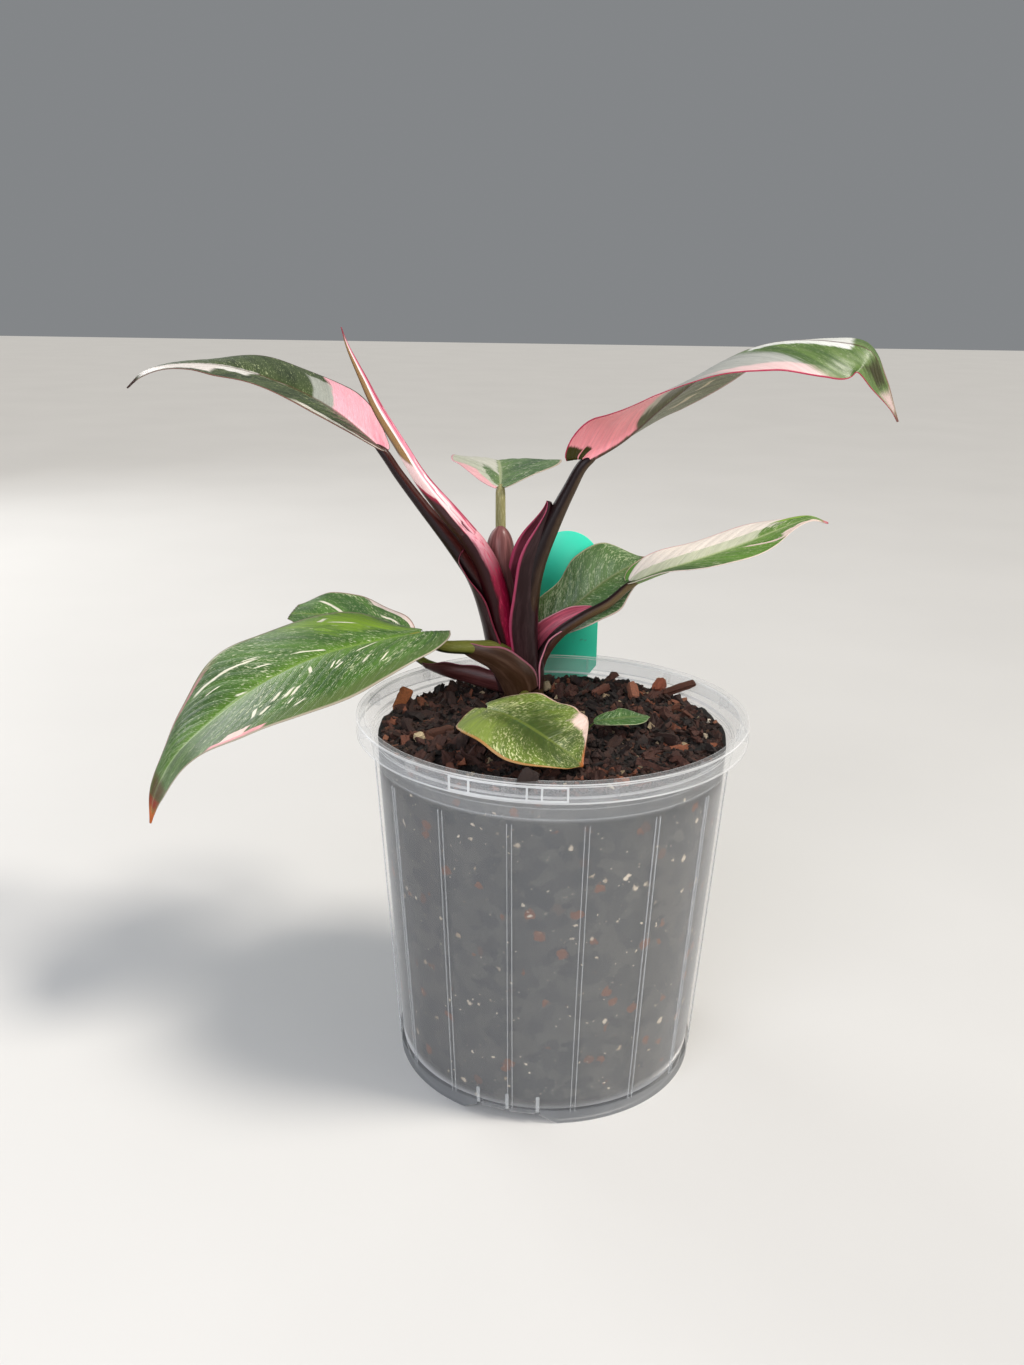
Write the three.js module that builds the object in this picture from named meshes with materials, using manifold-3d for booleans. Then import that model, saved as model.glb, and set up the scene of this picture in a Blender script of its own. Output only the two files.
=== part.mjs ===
// Pink princess philodendron in its clear growers' pot. Millimetres, +Z up.
// The origin is the centre of the pot's underside, on the surface it stands on, and -Y is the front.
// Leaf blades are waved sheets on a curved midrib; stalks and sheaths grow from one crown.
import * as THREE from 'three'
import { mergeVertices } from 'three/addons/utils/BufferGeometryUtils.js'
import Module from 'manifold-3d'

const wasm = await Module()
wasm.setup()

// ---------------------------------------------------------------- driving dimensions
const GAP = 0.3 // clearance kept between touching pieces
const SIDES = 48 // facets round the pot

const POT_HEIGHT = 134
const RIM_RADIUS = 70
const RIM_INNER = 66.2
const SKIRT_DEPTH = 6.6
const WALL_TOP_RADIUS = 64
const FOOT_RADIUS = 55.5
const WALL = 0.9
const FOOT_HEIGHT = 4
const FLOOR = 1.4
const FOOT_RING = 2 // width of the ring that it stands on
const GATE_RADIUS = 9 // flat moulding gate in the middle of the underside
const LIP = 0.8 // wall of the rim's skirt
const FLANGE = 1 // thickness of the rim's flat top
const FIRST_STEP = 118 // two moulded steps under the skirt, and how far each stands out
const SECOND_STEP = 121
const STEP = 0.4

const RIB_COUNT = 16
const RIB_START = -13.5 // degrees round from the front
const RIB_WIDTH = 0.9
const RIB_PROUD = 0.3
const RIB_LENGTH = 112
const RIB_MIDDLE = 61 // height of a rib's middle
const WEB_COUNT = 12
const WEB_START = 15.8
const WEB = [0.6, 4, 4.4] // gussets under the flange: width, depth and height
const NOTCH_COUNT = 3
const NOTCH_START = -14.6
const NOTCH_HALF_ANGLE = 13
const DRAIN_SPREAD = 11 // degrees between the drain slots over a notch
const DRAIN = [2.2, 4, 6]

const SOIL_LEVEL = 125.6
const SOIL_MOUND = 1.6
const CHIP_COUNT = 46
const SEEDLING_PLACE = [12.4, -4.6]
const SEEDLING_RADIUS = 0.8

const STEM_X = -8
const STEM_Y = 38
const STEM_RADIUS = 7
const STEM_BASE = 114
const STEM_HEIGHT = 19
const STEM_TAPER = 1.5

const BLADE = 0.7 // thickness of a leaf blade
const MIDRIB = 0.9 // how far the midrib stands out below the blade
const SHEATH = 0.9

const TAG_WIDTH = 26
const TAG_THICK = 0.6
const TAG_TOP = 185.3
const TAG_FOOT = 104
const TONGUE = 7 // half the width of the tag's tongue, below the rim
const TAG_RADIUS = 67.55 // distance of its middle from the pot's axis
const TAG_ANGLE = 6 // degrees round from the back towards +X

// ---------------------------------------------------------------- small helpers
const radians = THREE.MathUtils.degToRad
const vector = (p) => new THREE.Vector3(...p)

// A repeatable source of numbers between 0 and 1.
function seeded(seed) {
  let state = seed
  return () => {
    state = (state * 1664525 + 1013904223) % 4294967296
    return state / 4294967296
  }
}

// The value at t of a list of numbers that stand evenly from 0 to 1, joined by a smooth curve.
function along(values, t) {
  const last = values.length - 1
  const x = THREE.MathUtils.clamp(t, 0, 1) * last
  const i = Math.min(Math.floor(x), last - 1)
  const f = x - i
  const [a, b] = [values[i], values[i + 1]]
  const before = values[Math.max(i - 1, 0)]
  const after = values[Math.min(i + 2, last)]
  const bend = 2 * before - 5 * a + 4 * b - after
  return a + 0.5 * f * (b - before + f * (bend + f * (3 * (a - b) + after - before)))
}

// A closed geometry as a solid: one vertex for each place, and no triangle without area.
function solid(geometry) {
  const bare = geometry.clone()
  bare.deleteAttribute('normal')
  bare.deleteAttribute('uv')
  const merged = mergeVertices(bare, 1e-4)
  const index = merged.index.array
  const triangles = []
  for (let i = 0; i < index.length; i += 3) {
    const [a, b, c] = [index[i], index[i + 1], index[i + 2]]
    if (a !== b && b !== c && c !== a) triangles.push(a, b, c)
  }
  const vertProperties = new Float32Array(merged.attributes.position.array)
  const triVerts = new Uint32Array(triangles)
  return new wasm.Manifold(new wasm.Mesh({ numProp: 3, vertProperties, triVerts }))
}

// The largest body of a solid as a three.js geometry; crumbs that a cut leaves are dropped.
function geometryOf(body) {
  const pieces = body.decompose().sort((a, b) => b.volume() - a.volume())
  const mesh = pieces[0].getMesh()
  const geometry = new THREE.BufferGeometry()
  geometry.setAttribute('position', new THREE.BufferAttribute(mesh.vertProperties, 3))
  geometry.setIndex(new THREE.BufferAttribute(mesh.triVerts, 1))
  return geometry
}

// A closed body from rings of equal length, with a fan on each end.
function loft(rings) {
  const count = rings[0].length
  const points = rings.flat()
  const index = []
  for (let r = 0; r < rings.length - 1; r++) {
    for (let k = 0; k < count; k++) {
      const next = (k + 1) % count
      const [a, b] = [r * count + k, r * count + next]
      index.push(a, b, a + count, b, b + count, a + count)
    }
  }
  for (const [ring, flip] of [[0, true], [rings.length - 1, false]]) {
    const centre = rings[ring].reduce((sum, p) => sum.add(p), new THREE.Vector3()).divideScalar(count)
    points.push(centre)
    for (let k = 0; k < count; k++) {
      const [a, b] = [ring * count + k, ring * count + ((k + 1) % count)]
      index.push(points.length - 1, ...(flip ? [b, a] : [a, b]))
    }
  }
  return new THREE.BufferGeometry().setFromPoints(points).setIndex(index)
}

// A round stalk along a smooth path, its radius given from base to end.
function stalk({ path, radii, sides = 7, steps = 8 }) {
  const curve = new THREE.CatmullRomCurve3(path.map(vector), false, 'centripetal')
  const frames = curve.computeFrenetFrames(steps, false)
  const rings = []
  for (let i = 0; i <= steps; i++) {
    const centre = curve.getPointAt(i / steps)
    const radius = along(radii, i / steps)
    rings.push(Array.from({ length: sides }, (_, k) => {
      const angle = (k / sides) * 2 * Math.PI
      return centre.clone()
        .addScaledVector(frames.normals[i], radius * Math.cos(angle))
        .addScaledVector(frames.binormals[i], radius * Math.sin(angle))
    }))
  }
  return loft(rings)
}

// A closed sheet: surface(t, s) is its upper face, and below(t, s) how thick it is there.
function sheet(surface, below, rows, columns, crowd = 1) {
  const step = 1e-3
  const upper = []
  const lower = []
  for (let i = 0; i <= rows; i++) {
    for (const s of columns) {
      const t = (i / rows) ** crowd
      const point = surface(t, s)
      const alongT = surface(t + step, s).sub(surface(t - step, s))
      const alongS = surface(t, s + step).sub(surface(t, s - step))
      const normal = alongS.cross(alongT).normalize()
      upper.push(point)
      lower.push(point.clone().addScaledVector(normal, -below(t, s)))
    }
  }
  const width = columns.length
  const total = upper.length
  const index = []
  for (let i = 0; i < rows; i++) {
    for (let k = 0; k < width - 1; k++) {
      const a = i * width + k
      const [b, c, d] = [a + 1, a + width, a + width + 1]
      index.push(a, b, c, b, d, c)
      index.push(a + total, c + total, b + total, b + total, c + total, d + total)
    }
  }
  const edge = []
  for (let k = 0; k < width - 1; k++) edge.push(k)
  for (let i = 0; i < rows; i++) edge.push(i * width + width - 1)
  for (let k = width - 1; k > 0; k--) edge.push(rows * width + k)
  for (let i = rows; i > 0; i--) edge.push(i * width)
  edge.forEach((a, n) => {
    const b = edge[(n + 1) % edge.length]
    index.push(a, a + total, b, b, a + total, b + total)
  })
  return new THREE.BufferGeometry().setFromPoints([...upper, ...lower]).setIndex(index)
}

// ---------------------------------------------------------------- leaves
// A blade hangs on its midrib. Its two halves leave the midrib at their own slopes, in degrees above
// the level line through it, bulge a little on the way out, wave at the margin, and sweep back behind
// the stalk as lobes. front is the half on the side that across points to.
const COLUMNS = [-1, -0.82, -0.48, -0.12, 0, 0.12, 0.48, 0.82, 1]

function bladeSurface(leaf) {
  const curve = new THREE.CatmullRomCurve3(leaf.midrib.map(vector), false, 'centripetal')
  const length = curve.getLength()
  const across = vector(leaf.across)
  const heading = curve.getPoint(1).sub(curve.getPoint(0))
  const hand = new THREE.Vector3().crossVectors(across, heading).z < 0 ? -1 : 1
  const { belly = 0.12, wave = 0.03, waves = 2.5, shoulder = 0.07 } = leaf
  return (t, column) => {
    const s = column * hand
    const side = Math.abs(s)
    const lobe = s > 0 ? leaf.lobes.front : leaf.lobes.back
    const sweep = lobe * Math.pow(1 - THREE.MathUtils.clamp(t, 0, 1), 4) * Math.pow(side, 1.4)
    const at = THREE.MathUtils.clamp(t - sweep, 0, 1)
    const tangent = curve.getTangentAt(at)
    const out = across.clone().addScaledVector(tangent, -across.dot(tangent)).normalize()
    const up = new THREE.Vector3().crossVectors(out, tangent).multiplyScalar(hand)
    const slope = radians(along(s > 0 ? leaf.frontSlope : leaf.backSlope, t))
    const round = Math.sqrt(1 - (1 - THREE.MathUtils.clamp(t / shoulder, 0, 1)) ** 2)
    const reach = along(s > 0 ? leaf.frontWidth : leaf.backWidth, t) * side * (0.3 + 0.7 * round)
    const bulge = belly * (side - side * side) + wave * side ** 3 * Math.sin(2 * Math.PI * waves * t + s)
    const overrun = Math.min(t - sweep, 0) * length + Math.max(t - 1, 0) * length
    return curve.getPointAt(at)
      .addScaledVector(tangent, overrun)
      .addScaledVector(out, Math.sign(s) * reach * Math.cos(slope))
      .addScaledVector(up, reach * Math.sin(slope) + bulge * along(leaf.frontWidth, t))
  }
}

function blade(leaf, rows) {
  const rib = (t, s) => BLADE + MIDRIB * (1 - t) * Math.exp(-((s / 0.09) ** 2))
  return sheet(bladeSurface(leaf), rib, rows, COLUMNS, 1.4)
}

const leafUpperLeft = {
  midrib: [[-64.5, 41, 221], [-81.4, 45, 233.3], [-101.5, 50, 242.3], [-124.8, 55, 248], [-145.9, 57, 247.7],
    [-155, 57, 244.8], [-161, 57, 239.3]],
  across: [0, -1, 0],
  frontWidth: [7, 14, 18.5, 19, 18, 13, 7, 0.5],
  backWidth: [7, 15, 19.5, 20, 18, 13, 7, 0.5],
  frontSlope: [-4, -7, -4, -5, -6, -5, -14, -40],
  backSlope: [22, 27, 21, 17, 14, 5, 0, -15],
  lobes: { front: 0.03, back: 0.03 },
}

const leafUpperRight = {
  midrib: [[11, 31, 218.2], [22.9, 30, 225.7], [38, 28, 239.4], [56, 25, 253.5], [72.3, 22.5, 260.3],
    [93.4, 18, 261.2], [105.2, 15, 258.2], [110.3, 14, 249], [116.4, 13, 235.3]],
  across: [0, -1, 0],
  frontWidth: [12, 18.5, 23, 25, 26, 25, 23, 20, 14, 7.5, 0.5],
  backWidth: [13, 19, 23, 25, 26, 25, 22, 18, 13, 7, 0.5],
  frontSlope: [66, 46, 28, 15, 1, -12, -20, -30, -44, -40, -31],
  backSlope: [-12, -12, -18, -23, -25, -23, -15, 0, 14, 20, 20],
  lobes: { front: 0.045, back: 0.02 },
}

const leafRight = {
  midrib: [[30.9, 41, 171.2], [41.3, 43, 174.9], [52.8, 45, 178.3], [72.4, 50, 184.2], [91.8, 54, 191.4],
    [100.6, 56, 193.9], [107.5, 58, 191.9]],
  across: [0, -1, 0],
  frontWidth: [6, 10.5, 13, 13, 11, 6, 0.5],
  backWidth: [6, 10.5, 13, 13, 11, 6, 0.5],
  frontSlope: [10, 9, -4, -12, -11, 0, -20],
  backSlope: [50, 26, 12, 14, 22, 15, 0],
  lobes: { front: 0.03, back: 0.03 },
}

const leafBigLeft = {
  midrib: [[-49, 28, 154], [-63.9, 24, 151.8], [-85.5, 18, 147.2], [-106.7, 11, 137.8], [-124.3, 5, 125.2],
    [-136.5, 0, 113.8], [-144.2, -2.6, 100], [-146.5, -4, 88.6]],
  across: [0.3, -1, 0],
  frontWidth: [14, 23, 29, 30, 27, 21, 11, 0.5],
  backWidth: [11, 23, 29, 30, 27, 21, 11, 0.5],
  frontSlope: [-12, -14, -18, -17, -8, -1, -12, -32],
  backSlope: [-6, 10, 14, 17, 22, 14, 8, 20],
  lobes: { front: 0.08, back: 0.01 },
}

const leafHiddenLeft = {
  midrib: [[-56.7, 47, 143], [-64.9, 51, 147], [-75.2, 55, 149.9], [-85.6, 58, 151.4], [-95.1, 60, 151.5],
    [-103.9, 62, 151.3]],
  across: [0, -1, 0],
  frontWidth: [8, 16, 19, 18, 12, 3],
  backWidth: [8, 16, 19, 19, 16, 6],
  frontSlope: [-19, -24, -19, -16, -19, -20],
  backSlope: [34, 18, 13, 14, 20, 10],
  lobes: { front: 0.06, back: 0.02 },
}

const leafRoundBack = {
  midrib: [[-5.5, 51.4, 146.5], [1.5, 53.4, 151.5], [11, 55.4, 159], [21, 57.4, 167], [30, 58.9, 172.5],
    [37.5, 60.4, 176.5]],
  across: [0.5, -0.7, -0.5],
  frontWidth: [9, 14, 19.5, 20.5, 14.5, 0.5],
  backWidth: [8, 11, 12, 15, 13.5, 0.5],
  frontSlope: [30, 30, 26, 22, 24, 0],
  backSlope: [20, 20, 20, 20, 20, 0],
  lobes: { front: 0.05, back: 0.05 },
}

const leafSmallBack = {
  midrib: [[-20.2, 63.4, 203.4], [-20.2, 72, 204.8], [-20.6, 84, 207], [-21.5, 98, 208.5], [-22.5, 111, 206.5]],
  across: [1, 0, 0],
  frontWidth: [6, 19, 25, 22, 12.5, 0.5],
  backWidth: [6, 17, 20.5, 18, 10.5, 0.5],
  frontSlope: [16, 15, 8, 5, 2, 0],
  backSlope: [16, 19, 16, 10, 6, 0],
  lobes: { front: 0.08, back: 0.08 },
}

const leafFrontLow = {
  midrib: [[-22.9, -20.5, 141], [-16.7, -28.5, 142], [-10, -35.5, 141], [-2.5, -41, 138], [4, -43, 134],
    [9.1, -42.5, 129.2]],
  across: [-0.5, -0.85, 0],
  frontWidth: [7, 18, 20, 18, 11, 0.5],
  backWidth: [9, 18, 20.5, 23.5, 23, 0.5],
  frontSlope: [-8, -2, -7, -13, -6, 0],
  backSlope: [9, 6, 7, 8, 10, 0],
  lobes: { front: 0.09, back: 0.1 },
}

const leafSeedling = {
  midrib: [[14.6, -5.6, 131.6], [19, -6.8, 132.8], [24, -6.4, 133.2], [29, -4, 132.8], [34.8, 0.6, 131.4]],
  across: [0.3, -1, 0],
  frontWidth: [2, 4, 5, 4.2, 0.8],
  backWidth: [2, 4, 5.4, 4.4, 0.8],
  frontSlope: [-10, -10, -13, -6, 0],
  backSlope: [14, 16, 16, 12, 0],
  lobes: { front: 0, back: 0 },
}

// The next leaf, still rolled up: a slim spindle with a fine point.
const newLeaf = {
  path: [[-31.2, 34.4, 189], [-39.7, 33, 199], [-48.3, 31.5, 210], [-55, 30.5, 221], [-63.3, 29, 235],
    [-68.5, 28, 246], [-73.6, 27.5, 257.2], [-75.4, 27, 263.2]],
  radii: [4.2, 3.6, 2.7, 2.3, 2.1, 2, 1.6, 0.9, 0.3],
  sides: 10,
  steps: 20,
}

// ---------------------------------------------------------------- crown: stem, stalks and sheaths
const stalks = {
  upperLeft: {
    path: [[-11, 39, 128], [-15, 38.5, 142], [-20.5, 38, 156.5], [-28.5, 38, 171.5], [-38, 38.3, 185],
      [-49, 39.2, 199], [-57.6, 40.2, 210.6], [-62.7, 40.8, 218.2]],
    radii: [3.6, 3.6, 3.4, 3.2, 2.7, 2.2, 2, 1.9],
  },
  newLeafBase: {
    path: [[-13, 36, 130], [-16.4, 36, 142], [-18.6, 35.8, 154], [-21, 35.3, 167], [-24.8, 34.9, 178.5],
      [-30.2, 34.5, 187.4]],
    radii: [4, 4.6, 4.8, 4.8, 4.6, 4.2],
  },
  upperRight: {
    path: [[-8, 35, 128], [-10.2, 35, 145], [-9.8, 34.6, 163], [-6.6, 34, 179], [-0.6, 33, 194.5],
      [5.4, 32, 207.5], [9.9, 31.2, 215.8]],
    radii: [4.4, 4.7, 4.6, 4.4, 3.8, 3.1, 2.6],
  },
  smallBack: {
    path: [[-12, 43, 130], [-17, 48, 148], [-19.2, 55, 168], [-19.8, 60, 186], [-20.1, 63, 201.4]],
    radii: [2.2, 2.2, 2.2, 2.1, 1.9],
  },
  roundBack: {
    path: [[-9, 40, 128], [-8.6, 45.5, 136], [-7, 50, 144]],
    radii: [2, 1.7, 1.5],
    steps: 5,
  },
  right: {
    path: [[-6, 38, 128], [-3.6, 37.4, 141], [2.6, 37, 150.8], [12, 37, 158], [21.4, 38.2, 163.2],
      [29.6, 40.5, 169.7]],
    radii: [2.6, 2.5, 2.3, 2.1, 1.9, 1.6],
  },
  bigLeft: {
    path: [[-10, 35, 129], [-12.5, 33.5, 139], [-19.5, 31.5, 146], [-30.5, 30, 147.4], [-41.5, 29, 148.2],
      [-47.7, 28.3, 150.9]],
    radii: [3.6, 3.6, 3.3, 2.9, 2.5, 2.1],
  },
  hiddenLeft: {
    path: [[-12, 39, 128.5], [-21, 40.5, 131.5], [-35, 43, 133.4], [-47.6, 45, 136], [-55.6, 46.6, 141]],
    radii: [2.4, 2.2, 2, 1.8, 1.6],
  },
  frontLow: {
    path: [[-8.5, 33, 129], [-11, 22, 130.5], [-15, 8, 132.5], [-20, -7, 136.5], [-22.5, -18.8, 139.1]],
    radii: [1.8, 1.5, 1.4, 1.3, 1.2],
  },
}

// A sheath is the winged foot of a stalk: a channel round the stalk's lower length, open on one side.
// wing is how far its two margins are drawn out towards the opening.
const sheaths = {
  upperRight: {
    path: [[-10.5, 36, 130], [-12, 36, 148], [-11.3, 35.8, 165], [-9, 35.2, 179], [-5.4, 34, 192],
      [-1.8, 33, 202.5]],
    open: [-0.8, -0.2, 0.3],
    radii: [6, 6.2, 6, 5.4, 4, 1.6],
    wrap: [125, 120, 115, 100, 85, 60],
    wing: [0, 1, 2.5, 4.4, 4.8, 1],
  },
  upperLeft: {
    path: [[-13, 37, 130], [-16.8, 37, 143], [-20.2, 36.8, 158], [-24.4, 36.5, 171], [-32.5, 36, 184]],
    open: [0.75, -0.3, 0.5],
    radii: [6, 6, 5.8, 5.6, 4.4],
    wrap: [110, 105, 95, 75, 35],
  },
  smallBack: {
    path: [[-13, 41, 131], [-16.6, 42.6, 148], [-19, 44, 166], [-19.7, 45, 181], [-19.7, 46.5, 190.5]],
    open: [0, 1, -0.1],
    radii: [5, 5, 4.8, 4.6, 3.2],
    wrap: [110, 105, 95, 85, 70],
  },
  right: {
    path: [[-7.5, 37.5, 130], [-6.8, 37.5, 142], [-4, 37.5, 149.8], [1.2, 37.5, 155], [7.6, 37.7, 158.8],
      [15.4, 38, 162.2]],
    open: [-0.4, -0.7, 0.6],
    radii: [4.4, 4.2, 4, 3.6, 3.2, 1.4],
    wrap: [115, 110, 100, 90, 80, 60],
  },
  bigLeft: {
    path: [[-11, 35, 130], [-13.8, 34, 138], [-19.8, 33, 144], [-28.5, 32.3, 147.2], [-37.5, 32, 149.7]],
    open: [0.35, 0.6, 0.75],
    radii: [6.2, 6.6, 5.6, 4, 1.8],
    wrap: [110, 105, 95, 80, 60],
  },
  hiddenLeft: {
    path: [[-13, 38.6, 130.4], [-22, 39.6, 132.4], [-33, 41.5, 134.6], [-43.5, 43.5, 136], [-49.5, 44.5, 136.8]],
    open: [0, -0.1, 1],
    radii: [4, 3.8, 3.6, 3, 1.4],
    wrap: [100, 95, 85, 75, 60],
  },
}

function sheathSurface({ path, open, radii, wrap, wing = [0, 0] }) {
  const curve = new THREE.CatmullRomCurve3(path.map(vector), false, 'centripetal')
  const opening = vector(open)
  return (t, s) => {
    const at = THREE.MathUtils.clamp(t, 0, 1)
    const tangent = curve.getTangentAt(at)
    const towards = opening.clone().addScaledVector(tangent, -opening.dot(tangent)).normalize()
    const sideways = new THREE.Vector3().crossVectors(tangent, towards)
    const angle = radians(along(wrap, t)) * s
    const radius = along(radii, t) * (1 + 0.15 * Math.abs(s) ** 3)
    return curve.getPointAt(at)
      .addScaledVector(tangent, t - at)
      .addScaledVector(towards, along(wing, t) * s * s - radius * Math.cos(angle))
      .addScaledVector(sideways, radius * Math.sin(angle))
  }
}

// The buried foot of the stem; with a clearance it is also the hole that the mix keeps for it.
function stemCone(clearance) {
  const top = STEM_RADIUS + clearance
  const cone = new THREE.CylinderGeometry(top, top - STEM_TAPER, STEM_HEIGHT, 20).rotateX(Math.PI / 2)
  return cone.translate(STEM_X, STEM_Y, STEM_BASE - clearance + STEM_HEIGHT / 2)
}

function crownSolid() {
  let crown = solid(stemCone(0))
  for (const item of Object.values(stalks)) crown = crown.add(solid(stalk(item)))
  const columns = [-1, -0.6, -0.2, 0.2, 0.6, 1]
  for (const item of Object.values(sheaths)) {
    crown = crown.add(solid(sheet(sheathSurface(item), () => SHEATH, 7, columns)))
  }
  return crown
}

// ---------------------------------------------------------------- pot
const taper = (WALL_TOP_RADIUS - FOOT_RADIUS) / (POT_HEIGHT - SKIRT_DEPTH)
const wallRadius = (z) => FOOT_RADIUS + taper * z

// A box set on the pot: its middle at a radius and height, turned round the axis, leaning with the wall.
function boxOnPot(angle, radius, z, [wide, deep, high], lean = 0) {
  const box = new THREE.BoxGeometry(wide, deep, high)
  box.rotateX(lean)
  box.translate(0, -radius, z)
  box.rotateZ(radians(angle))
  return solid(box)
}

function potSolid() {
  const floorTop = FOOT_HEIGHT + FLOOR
  const skirtFoot = POT_HEIGHT - SKIRT_DEPTH
  const outline = [
    [0, 0], [GATE_RADIUS, 0], [GATE_RADIUS + 0.5, FOOT_HEIGHT], [FOOT_RADIUS - FOOT_RING - 0.4, FOOT_HEIGHT],
    [FOOT_RADIUS - FOOT_RING, 0], [FOOT_RADIUS, 0],
    [wallRadius(FIRST_STEP), FIRST_STEP], [wallRadius(FIRST_STEP) + STEP, FIRST_STEP + 2 * STEP],
    [wallRadius(SECOND_STEP) + STEP, SECOND_STEP], [wallRadius(SECOND_STEP) + 2 * STEP, SECOND_STEP + 2 * STEP],
    [WALL_TOP_RADIUS + 2 * STEP, skirtFoot], [RIM_INNER + 0.7, POT_HEIGHT - FLANGE],
    [RIM_RADIUS - LIP, POT_HEIGHT - FLANGE], [RIM_RADIUS - LIP, skirtFoot], [RIM_RADIUS, skirtFoot],
    [RIM_RADIUS, POT_HEIGHT - 0.5], [RIM_RADIUS - 0.5, POT_HEIGHT], [RIM_INNER, POT_HEIGHT],
    [WALL_TOP_RADIUS - 0.1, skirtFoot], [wallRadius(FIRST_STEP) - WALL, FIRST_STEP],
    [wallRadius(floorTop) - WALL, floorTop], [0, floorTop],
  ].map(([r, z]) => new THREE.Vector2(r, z))
  let pot = solid(new THREE.LatheGeometry(outline, SIDES).rotateX(Math.PI / 2))

  const lean = Math.atan(taper)
  for (let i = 0; i < RIB_COUNT; i++) {
    const angle = RIB_START + (360 / RIB_COUNT) * i
    const size = [RIB_WIDTH, 2 * RIB_PROUD, RIB_LENGTH]
    pot = pot.add(boxOnPot(angle, wallRadius(RIB_MIDDLE), RIB_MIDDLE, size, lean))
  }
  for (let i = 0; i < WEB_COUNT; i++) {
    const angle = WEB_START + (360 / WEB_COUNT) * i
    const behindTag = Math.abs(angle - (180 - TAG_ANGLE)) < 14
    if (!behindTag) pot = pot.add(boxOnPot(angle, RIM_RADIUS - 2.6, POT_HEIGHT - 3, WEB))
  }
  for (let i = 0; i < NOTCH_COUNT; i++) {
    const middle = NOTCH_START + (360 / NOTCH_COUNT) * i
    const reach = 2 * FOOT_RADIUS * Math.sin(radians(NOTCH_HALF_ANGLE))
    pot = pot.subtract(boxOnPot(middle, FOOT_RADIUS, 0, [reach, 9, 2 * FOOT_HEIGHT]))
    for (const side of [-DRAIN_SPREAD, 0, DRAIN_SPREAD]) {
      pot = pot.subtract(boxOnPot(middle + side, FOOT_RADIUS - 0.5, floorTop + 2.6, DRAIN))
    }
  }
  const slot = [TAG_WIDTH + 2 * GAP, TAG_THICK + 2 * GAP, 2 * SKIRT_DEPTH]
  return pot.subtract(boxOnPot(180 - TAG_ANGLE, TAG_RADIUS, POT_HEIGHT, slot))
}

// ---------------------------------------------------------------- potting mix
function soilHeight(x, y) {
  const mound = SOIL_MOUND * Math.exp(-((x - 25) ** 2 + (y - 30) ** 2) / 900)
  const rough = 0.5 * Math.sin(0.31 * x + 1.3) * Math.cos(0.27 * y) + 0.3 * Math.sin(0.7 * x - 0.6 * y)
  const dish = 1.5 * Math.exp(-((x - STEM_X) ** 2 + (y - STEM_Y) ** 2) / 160)
  return SOIL_LEVEL + mound + rough - dish
}

function soilBody() {
  const bottom = FOOT_HEIGHT + FLOOR + GAP
  const radius = (z) => wallRadius(z) - WALL - GAP
  const rings = 7
  const points = [new THREE.Vector3(0, 0, soilHeight(0, 0))]
  const ring = (r, height) => {
    for (let k = 0; k < SIDES; k++) {
      const angle = (k / SIDES) * 2 * Math.PI
      const [x, y] = [r * Math.sin(angle), -r * Math.cos(angle)]
      points.push(new THREE.Vector3(x, y, height(x, y)))
    }
  }
  for (let i = 1; i <= rings; i++) ring((radius(FIRST_STEP) * i) / rings, soilHeight)
  ring(radius(bottom), () => bottom)
  points.push(new THREE.Vector3(0, 0, bottom))
  const index = []
  for (let i = 0; i <= rings; i++) {
    for (let k = 0; k < SIDES; k++) {
      const next = (k + 1) % SIDES
      const [a, b] = [1 + i * SIDES + k, 1 + i * SIDES + next]
      if (i === 0) index.push(0, a, b)
      if (i < rings) index.push(a, a + SIDES, b, b, a + SIDES, b + SIDES)
      if (i === rings) index.push(points.length - 1, b, a)
    }
  }
  return new THREE.BufferGeometry().setFromPoints(points).setIndex(index)
}

// Bark chips and bits of perlite, sunk into the surface, clear of the stem and of the low leaves.
function chips() {
  const random = seeded(7)
  const made = []
  while (made.length < CHIP_COUNT) {
    const angle = random() * 2 * Math.PI
    const far = 56 * Math.sqrt(random())
    const [x, y] = [far * Math.sin(angle), -far * Math.cos(angle)]
    const [long, wide, high] = [4 + 5 * random(), 2.5 + 2.5 * random(), 1.8 + 1.6 * random()]
    const chip = new THREE.BoxGeometry(long, wide, high)
    chip.rotateX(0.5 * (random() - 0.5))
    chip.rotateY(0.6 * (random() - 0.5))
    chip.rotateZ(Math.PI * random())
    const nearStem = Math.hypot(x - STEM_X, y - STEM_Y) < 15
    const underLeaf = y < 6 && Math.abs(x + 4) < 38
    const lift = underLeaf ? -0.3 : 0.4
    if (!nearStem) made.push(solid(chip.translate(x, y, soilHeight(x, y) + lift)))
  }
  return made
}

function soilSolid() {
  let soil = solid(soilBody())
  for (const chip of chips()) soil = soil.add(chip)
  const bore = SEEDLING_RADIUS + GAP + 0.1
  const seedlingHole = new THREE.CylinderGeometry(bore, bore, 24, 10).rotateX(Math.PI / 2)
  seedlingHole.translate(...SEEDLING_PLACE, POT_HEIGHT - 4)
  return soil.subtract(solid(stemCone(GAP))).subtract(solid(seedlingHole))
}

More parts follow.
